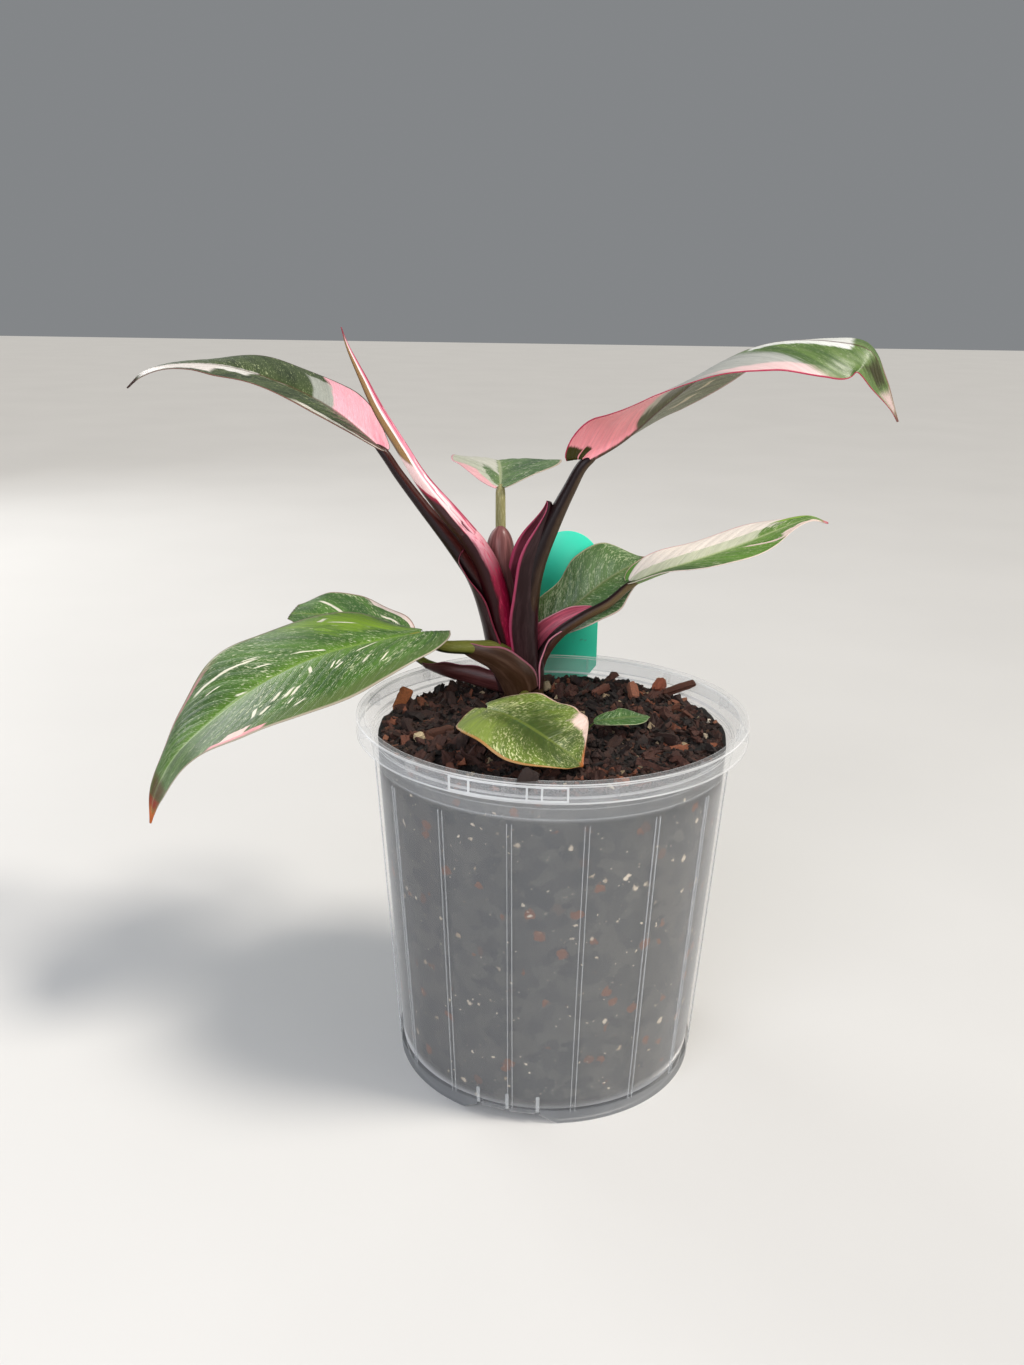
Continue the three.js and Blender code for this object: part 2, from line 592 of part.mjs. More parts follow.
// ---------------------------------------------------------------- plant tag
function tagGeometry() {
  const half = TAG_WIDTH / 2
  const outline = new THREE.Shape()
  outline.moveTo(0, TAG_FOOT)
  outline.lineTo(TONGUE, TAG_FOOT + 10)
  outline.lineTo(TONGUE, POT_HEIGHT - 12)
  outline.lineTo(half, POT_HEIGHT - 4)
  outline.lineTo(half, TAG_TOP - half)
  outline.absarc(0, TAG_TOP - half, half, 0, Math.PI, false)
  outline.lineTo(-half, POT_HEIGHT - 4)
  outline.lineTo(-TONGUE, POT_HEIGHT - 12)
  outline.lineTo(-TONGUE, TAG_FOOT + 10)
  const tag = new THREE.ExtrudeGeometry(outline, { depth: TAG_THICK, bevelEnabled: false, curveSegments: 16 })
  tag.rotateX(Math.PI / 2)
  tag.translate(0, TAG_RADIUS + TAG_THICK / 2, 0)
  tag.rotateZ(-radians(TAG_ANGLE))
  return tag
}

function seedlingSolid() {
  const stem = {
    path: [[...SEEDLING_PLACE, 122], [12.6, -4.7, 128], [15.6, -5.9, 131.2]],
    radii: [SEEDLING_RADIUS, SEEDLING_RADIUS],
    steps: 4,
  }
  return solid(blade(leafSeedling, 8)).add(solid(stalk(stem)))
}

// ---------------------------------------------------------------- the object
function finish(color, roughness, metalness = 0) {
  return new THREE.MeshStandardMaterial({ color, roughness, metalness })
}

const polypropylene = finish('#c9ced1', 0.35)
const barkMix = finish('#2e2019', 0.95)
const tagPlastic = finish('#2fc9a4', 0.4)
const burgundy = finish('#4a1526', 0.4)
const greenBlade = finish('#3f6b32', 0.4)
const paleBlade = finish('#c8cfae', 0.45)
const pinkBlade = finish('#d9808c', 0.45)

const plant = new THREE.Group()

function place(name, geometry, material) {
  const mesh = new THREE.Mesh(geometry, material)
  mesh.name = name
  plant.add(mesh)
}

place('pot', geometryOf(potSolid()), polypropylene)
place('potting_mix', geometryOf(soilSolid()), barkMix)
place('plant_tag', geometryOf(solid(tagGeometry())), tagPlastic)
place('crown', geometryOf(crownSolid()), burgundy)
place('new_leaf', geometryOf(solid(stalk(newLeaf))), pinkBlade)
place('leaf_upper_left', geometryOf(solid(blade(leafUpperLeft, 20))), greenBlade)
place('leaf_upper_right', geometryOf(solid(blade(leafUpperRight, 24))), pinkBlade)
place('leaf_right', geometryOf(solid(blade(leafRight, 16))), paleBlade)
place('leaf_big_left', geometryOf(solid(blade(leafBigLeft, 22))), greenBlade)
place('leaf_hidden_left', geometryOf(solid(blade(leafHiddenLeft, 12))), greenBlade)
place('leaf_round_back', geometryOf(solid(blade(leafRoundBack, 14))), greenBlade)
place('leaf_small_back', geometryOf(solid(blade(leafSmallBack, 14))), greenBlade)
place('leaf_front_low', geometryOf(solid(blade(leafFrontLow, 16))), paleBlade)
place('leaf_seedling', geometryOf(seedlingSolid()), greenBlade)

export default plant
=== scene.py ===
"""A pink princess philodendron in its clear growers' pot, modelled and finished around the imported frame.

The frame is in metres with +Z up. The pot stands on the origin and the plant faces -Y. Sizes in this file
are in millimetres, and a mesh is brought to metres when it is made.
"""

from __future__ import annotations

import logging
import math
from dataclasses import dataclass, field
from enum import Enum
from functools import partial
from typing import Callable, Sequence

import bpy
import numpy as np
from bpy.types import Material, Node, NodeSocket, NodeTree, Object
from mathutils import Matrix, Vector

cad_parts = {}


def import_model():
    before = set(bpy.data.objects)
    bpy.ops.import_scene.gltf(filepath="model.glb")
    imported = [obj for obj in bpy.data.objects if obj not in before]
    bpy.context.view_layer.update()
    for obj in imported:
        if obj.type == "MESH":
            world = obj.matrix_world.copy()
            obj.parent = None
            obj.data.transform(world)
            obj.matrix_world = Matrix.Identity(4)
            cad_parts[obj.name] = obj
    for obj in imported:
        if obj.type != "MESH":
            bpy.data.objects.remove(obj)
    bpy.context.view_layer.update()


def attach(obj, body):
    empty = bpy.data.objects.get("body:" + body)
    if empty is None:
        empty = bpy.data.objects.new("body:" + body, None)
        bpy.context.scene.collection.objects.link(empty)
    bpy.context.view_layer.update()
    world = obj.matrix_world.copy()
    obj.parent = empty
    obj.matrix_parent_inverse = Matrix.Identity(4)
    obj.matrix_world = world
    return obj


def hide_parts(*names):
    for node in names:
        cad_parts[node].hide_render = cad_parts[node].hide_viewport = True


log = logging.getLogger("philodendron")

MM = 0.001
ROOT = "root"
Array = np.ndarray
Point = tuple[float, float, float]
Pair = tuple[float, float]
Outline = Sequence[Pair]
Faces = list[tuple[int, ...]]
Colour = tuple[float, float, float, float]
Socket = NodeSocket | Node
Range = tuple[Socket, float, float]


# ---- colour, nodes and meshes


def linear(hex_colour: str) -> Colour:
    """Turns an sRGB hex value into linear light.

    Args:
        hex_colour: A colour such as "#3f6b32".

    Returns:
        Red, green, blue and an alpha of 1.
    """
    parts = [int(hex_colour[i : i + 2], 16) / 255 for i in (1, 3, 5)]
    bright = [c / 12.92 if c <= 0.04045 else ((c + 0.055) / 1.055) ** 2.4 for c in parts]
    return (*bright, 1.0)


def add(
    tree: NodeTree, kind: str, inputs: dict[str | int, object] | None = None, **settings: str | bool
) -> Node:
    """Adds a node with its settings and links.

    Args:
        tree: The node tree that gets the node.
        kind: The node's type, such as "GeometryNodeMeshLine"; a shader node goes without its family.
        inputs: Socket name or number to a value, a socket or a node, whose first output is then linked.
        **settings: The node's own properties.

    Returns:
        The new node.
    """
    family = "" if kind.startswith(("Geometry", "Function", "NodeGroup")) else "ShaderNode"
    node = tree.nodes.new(family + kind)
    for name, value in settings.items():
        setattr(node, name, value)
    for name, value in (inputs or {}).items():
        if isinstance(value, Node):
            value = value.outputs[0]
        if isinstance(value, NodeSocket):
            tree.links.new(value, node.inputs[name])
        else:
            node.inputs[name].default_value = value
    return node


class Skin:
    """A finish that is laid in layers of colour, ground first, and then given its gloss and relief."""

    def __init__(self, name: str, ground: str) -> None:
        """Starts the material.

        Args:
            name: The finish's plain name.
            ground: The sRGB colour that the others lie on.
        """
        self.made = bpy.data.materials.new(name)
        self.made.use_nodes = True
        self.made.node_tree.nodes.clear()
        self.add = partial(add, self.made.node_tree)
        self.shader = self.add("BsdfPrincipled")
        self.add("OutputMaterial", {"Surface": self.shader})
        self.ground = linear(ground)

    def measures(self, mark: str) -> tuple[Sequence[NodeSocket], NodeSocket]:
        """Reads a vector that the mesh carries on its points, as its three parts and as a whole."""
        whole = self.add("Attribute", attribute_name=mark).outputs["Vector"]
        return self.add("SeparateXYZ", {0: whole}).outputs[:], whole

    def facing(self, direction: Point) -> NodeSocket:
        """Tells how far the surface turns towards a direction.

        Args:
            direction: The direction, of any length.

        Returns:
            From -1, turned away, to 1.
        """
        normal = self.add("NewGeometry").outputs["Normal"]
        towards = tuple(Vector(direction).normalized())
        return self.add("VectorMath", {0: normal, 1: towards}, operation="DOT_PRODUCT").outputs["Value"]

    def cover(self, *where: Range, share: float | Socket = 1.0) -> float | Socket:
        """Works out how much of the ground a layer covers at each place.

        Args:
            *where: Values, each with the level where the layer starts to show and the one where it is full.
            share: The most that it covers.

        Returns:
            The cover from 0 to 1.
        """
        covered = share
        for value, start, full in where:
            low, high = (0.0, 1.0) if full > start else (1.0, 0.0)
            levels = {0: value, 1: min(start, full), 2: max(start, full), 3: low, 4: high}
            rise = self.add("MapRange", levels, interpolation_type="SMOOTHSTEP")
            both = {0: rise, 1: covered}
            covered = rise if covered == 1.0 else self.add("Math", both, operation="MULTIPLY")
        return covered

    def lay(
        self, colour: str | Colour | Socket, *where: Range, share: float | Socket = 1.0, blend: str = "MIX"
    ) -> None:
        """Lays a layer over the ground.

        Args:
            colour: An sRGB hex value, a linear colour or a socket.
            *where: As in cover.
            share: The most that it covers.
            blend: How it mixes with the ground.
        """
        over = linear(colour) if isinstance(colour, str) else colour
        layer = {0: self.cover(*where, share=share), 6: self.ground, 7: over}
        self.ground = self.add("Mix", layer, data_type="RGBA", blend_type=blend).outputs[2]

    def finish(
        self, grain: Socket, rough: Pair, height: Socket, relief: Pair,
        own: dict[str, float] | None = None,
    ) -> Material:
        """Gives the shader its colour, gloss and relief.

        Args:
            grain: The value that the roughness follows.
            rough: The roughness where the grain is 0 and where it is 1.
            height: The value that the relief follows.
            relief: The relief's strength and its depth in millimetres.
            own: Numbers for the shader's own sockets.

        Returns:
            The material.
        """
        gloss = self.add("MapRange", {0: grain, 3: rough[0], 4: rough[1]})
        bump = self.add("Bump", {"Strength": relief[0], "Distance": relief[1] * MM, "Height": height})
        joined = {"Base Color": self.ground, "Roughness": gloss.outputs[0], "Normal": bump.outputs[0]}
        for name, socket in joined.items():
            self.made.node_tree.links.new(socket, self.shader.inputs[name])
        for name, value in (own or {}).items():
            self.shader.inputs[name].default_value = value
        return self.made


def placed(name: str, data: bpy.types.ID) -> Object:
    """Puts an object into the scene, at the origin.

    Args:
        name: Its name.
        data: Its mesh, curve, camera or light.

    Returns:
        The object.
    """
    piece = bpy.data.objects.new(name, data)
    bpy.context.scene.collection.objects.link(piece)
    return piece


def settle(piece: Object) -> Object:
    """Keeps what an object's modifiers make as a plain mesh object of the same name.

    Args:
        piece: The object, which is then gone.

    Returns:
        The new object.
    """
    mesh = bpy.data.meshes.new_from_object(piece.evaluated_get(bpy.context.evaluated_depsgraph_get()))
    name = piece.name
    piece.modifiers.clear()
    bpy.data.objects.remove(piece)
    return placed(name, mesh)


def carry(piece: Object, mark: str, values: Array) -> None:
    """Stores a vector on each vertex of a piece, which its materials read."""
    layer = piece.data.attributes.new(mark, "FLOAT_VECTOR", "POINT")
    layer.data.foreach_set("vector", np.asarray(values, np.float32).ravel())


def make_mesh(
    name: str, points: Array, faces: Faces, materials: Sequence[Material],
    slots: Sequence[int] | None = None, marks: dict[str, Array] | None = None,
) -> Object:
    """Makes a smooth-shaded mesh object at the origin.

    Args:
        name: The piece's name.
        points: Its vertices in millimetres, in the row frame.
        faces: Its faces, counter-clockwise seen from outside.
        materials: Its materials.
        slots: The material number of each face, or None for the first.
        marks: Vector attributes on the vertices, which the materials read.

    Returns:
        The linked object.
    """
    mesh = bpy.data.meshes.new(name)
    mesh.from_pydata((np.asarray(points) * MM).tolist(), [], faces)
    for made in materials:
        mesh.materials.append(made)
    if slots is not None:
        mesh.polygons.foreach_set("material_index", np.asarray(slots, np.int32))
    mesh.polygons.foreach_set("use_smooth", np.ones(len(mesh.polygons), bool))
    piece = placed(name, mesh)
    for mark, values in (marks or {}).items():
        carry(piece, mark, values)
    mesh.update()
    return piece


def dress(piece: Object, slot: str, *nodes: str) -> None:
    """Rides a finished piece on the pot's body in place of its CAD nodes, and reports it.

    Args:
        piece: The finished object.
        slot: Not used.
        *nodes: The CAD nodes that it stands for.
    """
    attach(piece, ROOT)
    if nodes:
        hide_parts(*nodes)
    stands_for = ", ".join(nodes) or "itself"
    log.info("%s: %d faces, stands for %s", piece.name, len(piece.data.polygons), stands_for)


# ---- curves and sheets


def along(values: Sequence[float], share: Array) -> Array:
    """Reads a smooth curve through values that stand evenly from 0 to 1.

    Args:
        values: Two or more values.
        share: Where to read, from 0 to 1.

    Returns:
        The curve's value at each share.
    """
    knots = np.asarray(values, float)
    last = len(knots) - 1
    x = np.clip(share, 0, 1) * last
    i = np.minimum(np.floor(x).astype(int), last - 1)
    f = x - i
    a, b = knots[i], knots[i + 1]
    before, after = knots[np.maximum(i - 1, 0)], knots[np.minimum(i + 2, last)]
    bend = 2 * before - 5 * a + 4 * b - after
    return a + 0.5 * f * (b - before + f * (bend + f * (3 * (a - b) + after - before)))


def unit(vectors: Array) -> Array:
    """Scales vectors to a length of 1."""
    return vectors / np.maximum(np.linalg.norm(vectors, axis=-1, keepdims=True), 1e-9)


class Path:
    """A smooth centripetal curve through points, read by the share of its length."""

    def __init__(self, points: Sequence[Point], fine: int = 60) -> None:
        """Samples the curve.

        Args:
            points: The points it passes through, in millimetres.
            fine: How many samples it keeps between two points.
        """
        knots = np.asarray(points, float)
        knots = np.vstack([2 * knots[0] - knots[1], knots, 2 * knots[-1] - knots[-2]])
        gaps = np.linalg.norm(np.diff(knots, axis=0), axis=1) ** 0.5
        samples = []
        for i in range(1, len(knots) - 2):
            p0, p1, p2, p3 = knots[i - 1 : i + 3]
            d0, d1, d2 = gaps[i - 1 : i + 2]
            m1 = ((p1 - p0) / d0 - (p2 - p0) / (d0 + d1) + (p2 - p1) / d1) * d1
            m2 = ((p2 - p1) / d1 - (p3 - p1) / (d1 + d2) + (p3 - p2) / d2) * d1
            f = np.linspace(0, 1, fine, endpoint=False)[:, None]
            cubic = p1 + m1 * f + (3 * (p2 - p1) - 2 * m1 - m2) * f**2 + (2 * (p1 - p2) + m1 + m2) * f**3
            samples.append(cubic)
        self.points = np.vstack([*samples, knots[-2]])
        steps = np.linalg.norm(np.diff(self.points, axis=0), axis=1)
        self.length = float(steps.sum())
        self.share = np.concatenate([[0], np.cumsum(steps)]) / self.length
        self.headings = unit(np.gradient(self.points, self.share, axis=0))

    def at(self, share: Array) -> Array:
        """Gives the points at these shares of the length."""
        return np.stack([np.interp(share, self.share, self.points[:, k]) for k in range(3)], -1)

    def heading(self, share: Array) -> Array:
        """Gives the unit directions at these shares of the length."""
        return unit(np.stack([np.interp(share, self.share, self.headings[:, k]) for k in range(3)], -1))


def grid_faces(rows: int, columns: int, start: int = 0, flip: bool = False) -> Faces:
    """Joins a grid of vertices, row after row, into four-sided faces.

    Args:
        rows: Rows of vertices.
        columns: Vertices in a row.
        start: The number of the first vertex.
        flip: Whether the faces point the other way.

    Returns:
        The faces.
    """
    faces = []
    for i in range(rows - 1):
        for k in range(columns - 1):
            a = start + i * columns + k
            face = (a, a + 1, a + columns + 1, a + columns)
            faces.append(face[::-1] if flip else face)
    return faces


def tube_faces(rings: int, sides: int, start: int = 0) -> Faces:
    """Joins closed rings of vertices, each turning the same way, into a tube with a flat cap at each end.

    Args:
        rings: The number of rings.
        sides: Vertices in a ring.
        start: The number of the first vertex.

    Returns:
        The faces.
    """
    last = start + (rings - 1) * sides
    faces = [tuple(range(start, start + sides)), tuple(reversed(range(last, last + sides)))]
    for i in range(start, last, sides):
        for k in range(sides):
            a, b = i + k, i + (k + 1) % sides
            faces.append((a, a + sides, b + sides, b))
    return faces


def rim_of(rows: int, columns: int) -> list[int]:
    """Lists the border vertices of a grid in the order of its faces.

    Args:
        rows: Rows of vertices.
        columns: Vertices in a row.

    Returns:
        Their numbers, once round.
    """
    first = list(range(columns - 1))
    right = [i * columns + columns - 1 for i in range(rows - 1)]
    last = [(rows - 1) * columns + k for k in range(columns - 1, 0, -1)]
    left = [i * columns for i in range(rows - 1, 0, -1)]
    return first + right + last + left


@dataclass
class Sheet:
    """A thin closed sheet between an upper grid of points and the same grid moved below it.

    Args:
        upper: The upper points, rows by columns by 3.
        lower: The lower points, alike.
    """

    upper: Array
    lower: Array

    def build(self, name: str, materials: Sequence[Material], marks: dict[str, Array]) -> Object:
        """Makes the sheet's mesh; the upper face and the border have the first material.

        Args:
            name: The piece's name.
            materials: The upper and the lower material.
            marks: Attributes of the upper grid, rows by columns by 3; the lower grid has the same.

        Returns:
            The object.
        """
        rows, columns = self.upper.shape[:2]
        count = rows * columns
        faces = grid_faces(rows, columns) + grid_faces(rows, columns, count, flip=True)
        slots = [0] * (len(faces) // 2) + [1] * (len(faces) // 2)
        border = rim_of(rows, columns)
        for a, b in zip(border, border[1:] + border[:1]):
            faces.append((a, a + count, b + count, b))
            slots.append(0)
        points = np.vstack([self.upper.reshape(-1, 3), self.lower.reshape(-1, 3)])
        doubled = {mark: np.tile(values.reshape(-1, 3), (2, 1)) for mark, values in marks.items()}
        return make_mesh(name, points, faces, materials, slots, doubled)


def grid_normals(surface: Callable[[Array, Array], Array], t: Array, s: Array) -> Array:
    """Gives the unit normals of a surface, on the side that its grid's faces point to.

    Args:
        surface: Gives the surface's point for each t and s.
        t: Shares along.
        s: Shares across.

    Returns:
        The normals.
    """
    step = 2e-3
    along_t = surface(t + step, s) - surface(t - step, s)
    along_s = surface(t, s + step) - surface(t, s - step)
    return unit(np.cross(along_s, along_t))


# ---- leaves


class Face(Enum):
    """The faces of a blade that a marking shows on."""

    UPPER = "upper"
    UNDER = "under"
    BOTH = "both"


@dataclass(frozen=True)
class Patch:
    """A sector of one colour, bounded along by lateral veins.

    Args:
        colour: Its sRGB colour.
        along: Where it starts and ends on the midrib, as shares of its length, read down the veins.
        out: Where it starts and ends across, from -1 at the back margin to 1 at the front one.
        ragged: How far its edge strays, as a share of its size.
        soft: How softly its edge fades, alike.
        face: The faces it shows on.
        across_veins: Whether it is bounded straight across the blade instead.
    """

    colour: str
    along: Pair
    out: Pair
    ragged: float = 0.5
    soft: float = 0.08
    face: Face = Face.BOTH
    across_veins: bool = False

    def frame(self, length: float, width: float) -> tuple[Point, Point, float]:
        """Tells where it lies on a blade.

        Args:
            length: The blade's length in millimetres.
            width: The width that shares across are taken of.

        Returns:
            Its middle and half its size in millimetres, and its turn in radians.
        """
        (start, end), (low, high) = self.along, self.out
        middle = ((start + end) / 2 * length, (low + high) / 2 * width, 0.0)
        return middle, ((end - start) / 2 * length, (high - low) / 2 * width, 1.0), 0.0


@dataclass(frozen=True)
class Streak:
    """A thin stroke without chlorophyll, mostly along a lateral vein.

    Args:
        colour: Its sRGB colour.
        start: Where it starts, as a share of the midrib read down the veins and a share across.
        end: Where it ends.
        wide: Its width in millimetres.
        ragged: This and the rest are as in Patch.
    """

    colour: str
    start: Pair
    end: Pair
    wide: float = 1.0
    ragged: float = 0.9
    soft: float = 0.3
    face: Face = Face.UPPER
    across_veins: bool = False

    def frame(self, length: float, width: float) -> tuple[Point, Point, float]:
        """Tells where it lies on a blade.

        Args:
            length: The blade's length in millimetres.
            width: The width that shares across are taken of.

        Returns:
            Its middle and half its size in millimetres, and its turn in radians.
        """
        first, last = (np.multiply(end, (length, width)) for end in (self.start, self.end))
        ahead = last - first
        middle = (*((first + last) / 2).tolist(), 0.0)
        return middle, (float(np.hypot(*ahead)) / 2, self.wide / 2, 1.0), math.atan2(ahead[1], ahead[0])


@dataclass(frozen=True)
class BladeFinish:
    """The living colours of one blade: a waxy cuticle over chlorophyll, and sectors that have lost it.

    Args:
        deep: The darkest green.
        bright: The lightest green.
        under: The underside's ground colour.
        fleck: The colour of the small flecks between the veins.
        flecks: How much of the blade is flecked, from 0 to 1.
        fleck_size: The width of a fleck in millimetres.
        margin: The colour of the thin rolled margin of the front half.
        far_margin: The colour of the back half's margin.
        rib: The colour of the midrib.
        glow: The colour beside the midrib.
        tip: The colour of the tip.
        tip_from: Where the tip's colour starts.
        gloss: The roughness of the cuticle.
        glow_share: How strong the colour beside the midrib is.
        patches: The sectors and streaks, later ones over earlier ones.
    """

    deep: str
    bright: str
    under: str
    fleck: str
    flecks: float
    fleck_size: float
    margin: str
    far_margin: str
    rib: str
    glow: str
    tip: str
    tip_from: float
    gloss: float = 0.34
    glow_share: float = 0.4
    patches: tuple[Patch | Streak, ...] = ()


@dataclass
class Leaf:
    """One blade: a waved sheet on a curved midrib, with its veins and markings.

    Args:
        name: The CAD node that it stands for.
        slot: The record's material slot.
        midrib: Points of the midrib from the stalk to the tip.
        across: The direction of its front half.
        front_width: Widths of the front half, evenly from base to tip.
        back_width: Widths of the back half.
        front_slope: Degrees that the front half rises above the level line through the midrib.
        back_slope: The same for the back half.
        finish: Its colours.
        front_lobe: How far the front half sweeps back behind the stalk, as a share of the length.
        back_lobe: The same for the back half.
        seed: Shifts its noise, so that no two blades share a pattern.
        rows: Rows of vertices from base to tip.
        columns: Vertices in a row.
        belly: How strongly each half bulges upwards.
        wave: How far its margin waves, as a share of its width.
        waves: How many waves a margin has.
        shoulder: The share of the length over which the base rounds off.
        thickness: Its thickness in millimetres.
        thin_edge: How much thinner its margin is, as a share.
        quilt: How deep it is quilted between the lateral veins, in millimetres.
        groove: How deep the groove over the midrib is at the base, and how far out it reaches.
        rib_height: How much thicker it is under the midrib, at its base.
        rib_width: How far out the midrib reaches.
        vein_gap: The distance between lateral veins in millimetres.
        vein_run: How far a vein runs towards the tip until it meets the margin, as a share of the length.
    """

    name: str
    slot: str
    midrib: Sequence[Point]
    across: Point
    front_width: Sequence[float]
    back_width: Sequence[float]
    front_slope: Sequence[float]
    back_slope: Sequence[float]
    finish: BladeFinish
    front_lobe: float = 0.03
    back_lobe: float = 0.03
    seed: int = 0
    rows: int = 130
    columns: int = 57
    belly: float = 0.12
    wave: float = 0.03
    waves: float = 2.5
    shoulder: float = 0.07
    thickness: float = 0.5
    thin_edge: float = 0.55
    quilt: float = 0.11
    groove: Pair = (0.3, 1.1)
    rib_height: float = 0.9
    rib_width: float = 1.3
    vein_gap: float = 6.0
    vein_run: float = 0.16
    path: Path = field(init=False)
    hand: int = field(init=False)

    def __post_init__(self) -> None:
        """Works out the midrib's curve and which way round the blade lies."""
        self.path = Path(self.midrib)
        heading = np.subtract(self.midrib[-1], self.midrib[0])
        self.hand = -1 if np.cross(self.across, heading)[2] < 0 else 1

    def surface(self, t: Array, column: Array) -> Array:
        """Gives the upper face's points.

        Args:
            t: Shares of the length, from base to tip.
            column: From -1 at one margin to 1 at the other.

        Returns:
            The points in millimetres.
        """
        s = column * self.hand
        side = np.abs(s)
        front = s > 0
        inside = np.clip(t, 0, 1)
        sweep = np.where(front, self.front_lobe, self.back_lobe) * (1 - inside) ** 4 * side**1.4
        at = np.clip(t - sweep, 0, 1)
        heading = self.path.heading(at)
        level = np.asarray(self.across, float)
        out = unit(level - (heading @ level)[..., None] * heading)
        up = np.cross(out, heading) * self.hand
        slope = np.radians(np.where(front, along(self.front_slope, t), along(self.back_slope, t)))
        shoulder = 0.3 + 0.7 * np.sqrt(1 - (1 - np.clip(t / self.shoulder, 0, 1)) ** 2)
        reach = np.where(front, along(self.front_width, t), along(self.back_width, t)) * side * shoulder
        bulge = self.belly * (side - side**2) + self.wave * side**3 * np.sin(2 * np.pi * self.waves * t + s)
        rise = reach * np.sin(slope) + bulge * along(self.front_width, t)
        overrun = (np.minimum(t - sweep, 0) + np.maximum(t - 1, 0)) * self.path.length
        return (
            self.path.at(at)
            + heading * overrun[..., None]
            + out * (np.sign(s) * reach * np.cos(slope))[..., None]
            + up * rise[..., None]
        )

    def width(self) -> float:
        """Gives the wider half's greatest width."""
        return max(*self.front_width, *self.back_width)

    def vein(self, t: Array, s: Array) -> Array:
        """Gives where the lateral vein through a point leaves the midrib, as a share of the length."""
        return t - self.vein_run * np.abs(s) ** 1.2

    def build(self) -> Object:
        """Makes the blade's mesh with its relief and its attributes.

        Returns:
            The object.
        """
        rows = np.linspace(0, 1, self.rows) ** 1.25
        reach = np.linspace(-1, 1, self.columns)
        t, column = np.meshgrid(rows, np.sign(reach) * np.abs(reach) ** 1.2, indexing="ij")
        s = column * self.hand
        side = np.abs(s)
        root = self.vein(t, s)
        from_rib = side * np.where(s > 0, along(self.front_width, t), along(self.back_width, t))
        quilt = np.cos(2 * np.pi * root * self.path.length / self.vein_gap) * side * (1 - side) * 4
        deep, wide = self.groove
        groove = np.exp(-((from_rib / wide) ** 2)) * (1 - t)
        normals = grid_normals(self.surface, t, column)
        relief = -self.quilt * quilt - deep * groove
        upper = self.surface(t, column) + normals * relief[..., None]
        edge = 1 - self.thin_edge * side**8
        rib = self.rib_height * (1 - t)
        depth = self.thickness * edge + rib * np.exp(-((from_rib / self.rib_width) ** 2))
        lower = upper - normals * depth[..., None]
        sign = np.where(s >= 0, 1.0, -1.0)
        marks = {
            "leaf": np.stack([t, s, root], -1),
            "vein": np.stack([root * self.path.length, side * self.width(), 40 * sign + self.seed], -1),
        }
        finishes = [self.material(Face.UPPER), self.material(Face.UNDER)]
        return Sheet(upper, lower).build(self.name + "_blade", finishes, marks)

    def material(self, face: Face) -> Material:
        """Makes the finish of one face: wax over living colour, which glints softly and broadly.

        Args:
            face: UPPER or UNDER.

        Returns:
            The material.
        """
        look = self.finish
        skin = Skin(f"waxy_leaf_{self.name}_{face.value}", look.deep)
        add, lay = skin.add, skin.lay
        (t, s, root), _ = skin.measures("leaf")
        (run, out, _), veins = skin.measures("vein")
        drawn = add("VectorMath", {0: veins, 1: (1.0, 0.3, 1.0)}, operation="MULTIPLY")
        side = add("Math", {0: s}, operation="ABSOLUTE")
        # Broad clouds of the two greens, drawn out along the veins.
        cloud = add("TexNoise", {"Vector": drawn, "Scale": 1 / 9, "Detail": 4.0, "Roughness": 0.6})
        lay(look.bright, (cloud, 0.3, 0.7))
        if face is Face.UNDER:
            lay(look.under, share=0.75)
        else:
            lay(look.glow, (out, 8.0, 0.0), share=look.glow_share)
        # Lateral veins, a shade lighter than the ground, one each few millimetres.
        ripple = add("Math", {0: run, 1: self.vein_gap / 2}, operation="PINGPONG")
        lay(look.bright, (ripple, 0.7, 0.1), share=0.3)
        # Flecks without chlorophyll lie along the veins, thick in some places and absent in others.
        where = add("TexNoise", {"Vector": veins, "Scale": 1 / 16, "Detail": 2.0})
        speckled = {"Vector": drawn, "Scale": 1 / look.fleck_size, "Detail": 2.0, "Roughness": 0.55}
        fleck = add("TexNoise", speckled)
        lift = add("Math", {0: where, 1: 0.35, 2: fleck}, operation="MULTIPLY_ADD")
        level = 0.98 - 0.22 * look.flecks
        lay(look.fleck, (lift, level, level + 0.06))
        # The finest dots are drawn at 0.3 mm, coarser than they grow, so that they show.
        dots = add("TexNoise", {"Vector": drawn, "Scale": 1 / 0.32, "Detail": 1.0})
        lay(look.fleck, (dots, 0.62, 0.68), share=0.7 * look.flecks)
        # Sectors with ragged edges.
        ragged = add("TexNoise", {"Vector": drawn, "Scale": 1 / 2.2, "Detail": 4.0, "Roughness": 0.65})
        stray = add("Math", {0: ragged, 1: -0.5}, operation="ADD")
        extent = (self.path.length, self.width())
        spots = []
        for first in (root, t):
            shares = add("CombineXYZ", {0: first, 1: s})
            spots.append(add("VectorMath", {0: shares, 1: (*extent, 0.0)}, operation="MULTIPLY"))
        for patch in look.patches:
            if patch.face not in (face, Face.BOTH):
                continue
            middle, half, turn = patch.frame(*extent)
            frame = {"Location": middle, "Rotation": (0.0, 0.0, turn), "Scale": half}
            moved = add("Mapping", {0: spots[patch.across_veins], **frame}, vector_type="TEXTURE")
            local = add("VectorMath", {0: moved}, operation="ABSOLUTE")
            parts = add("SeparateXYZ", {0: local}).outputs
            furthest = add("Math", {0: parts[0], 1: parts[1]}, operation="MAXIMUM")
            strayed = add("Math", {0: stray, 1: 2 * patch.ragged, 2: furthest}, operation="MULTIPLY_ADD")
            lay(patch.colour, (strayed, 1 + patch.soft, 1 - patch.soft))
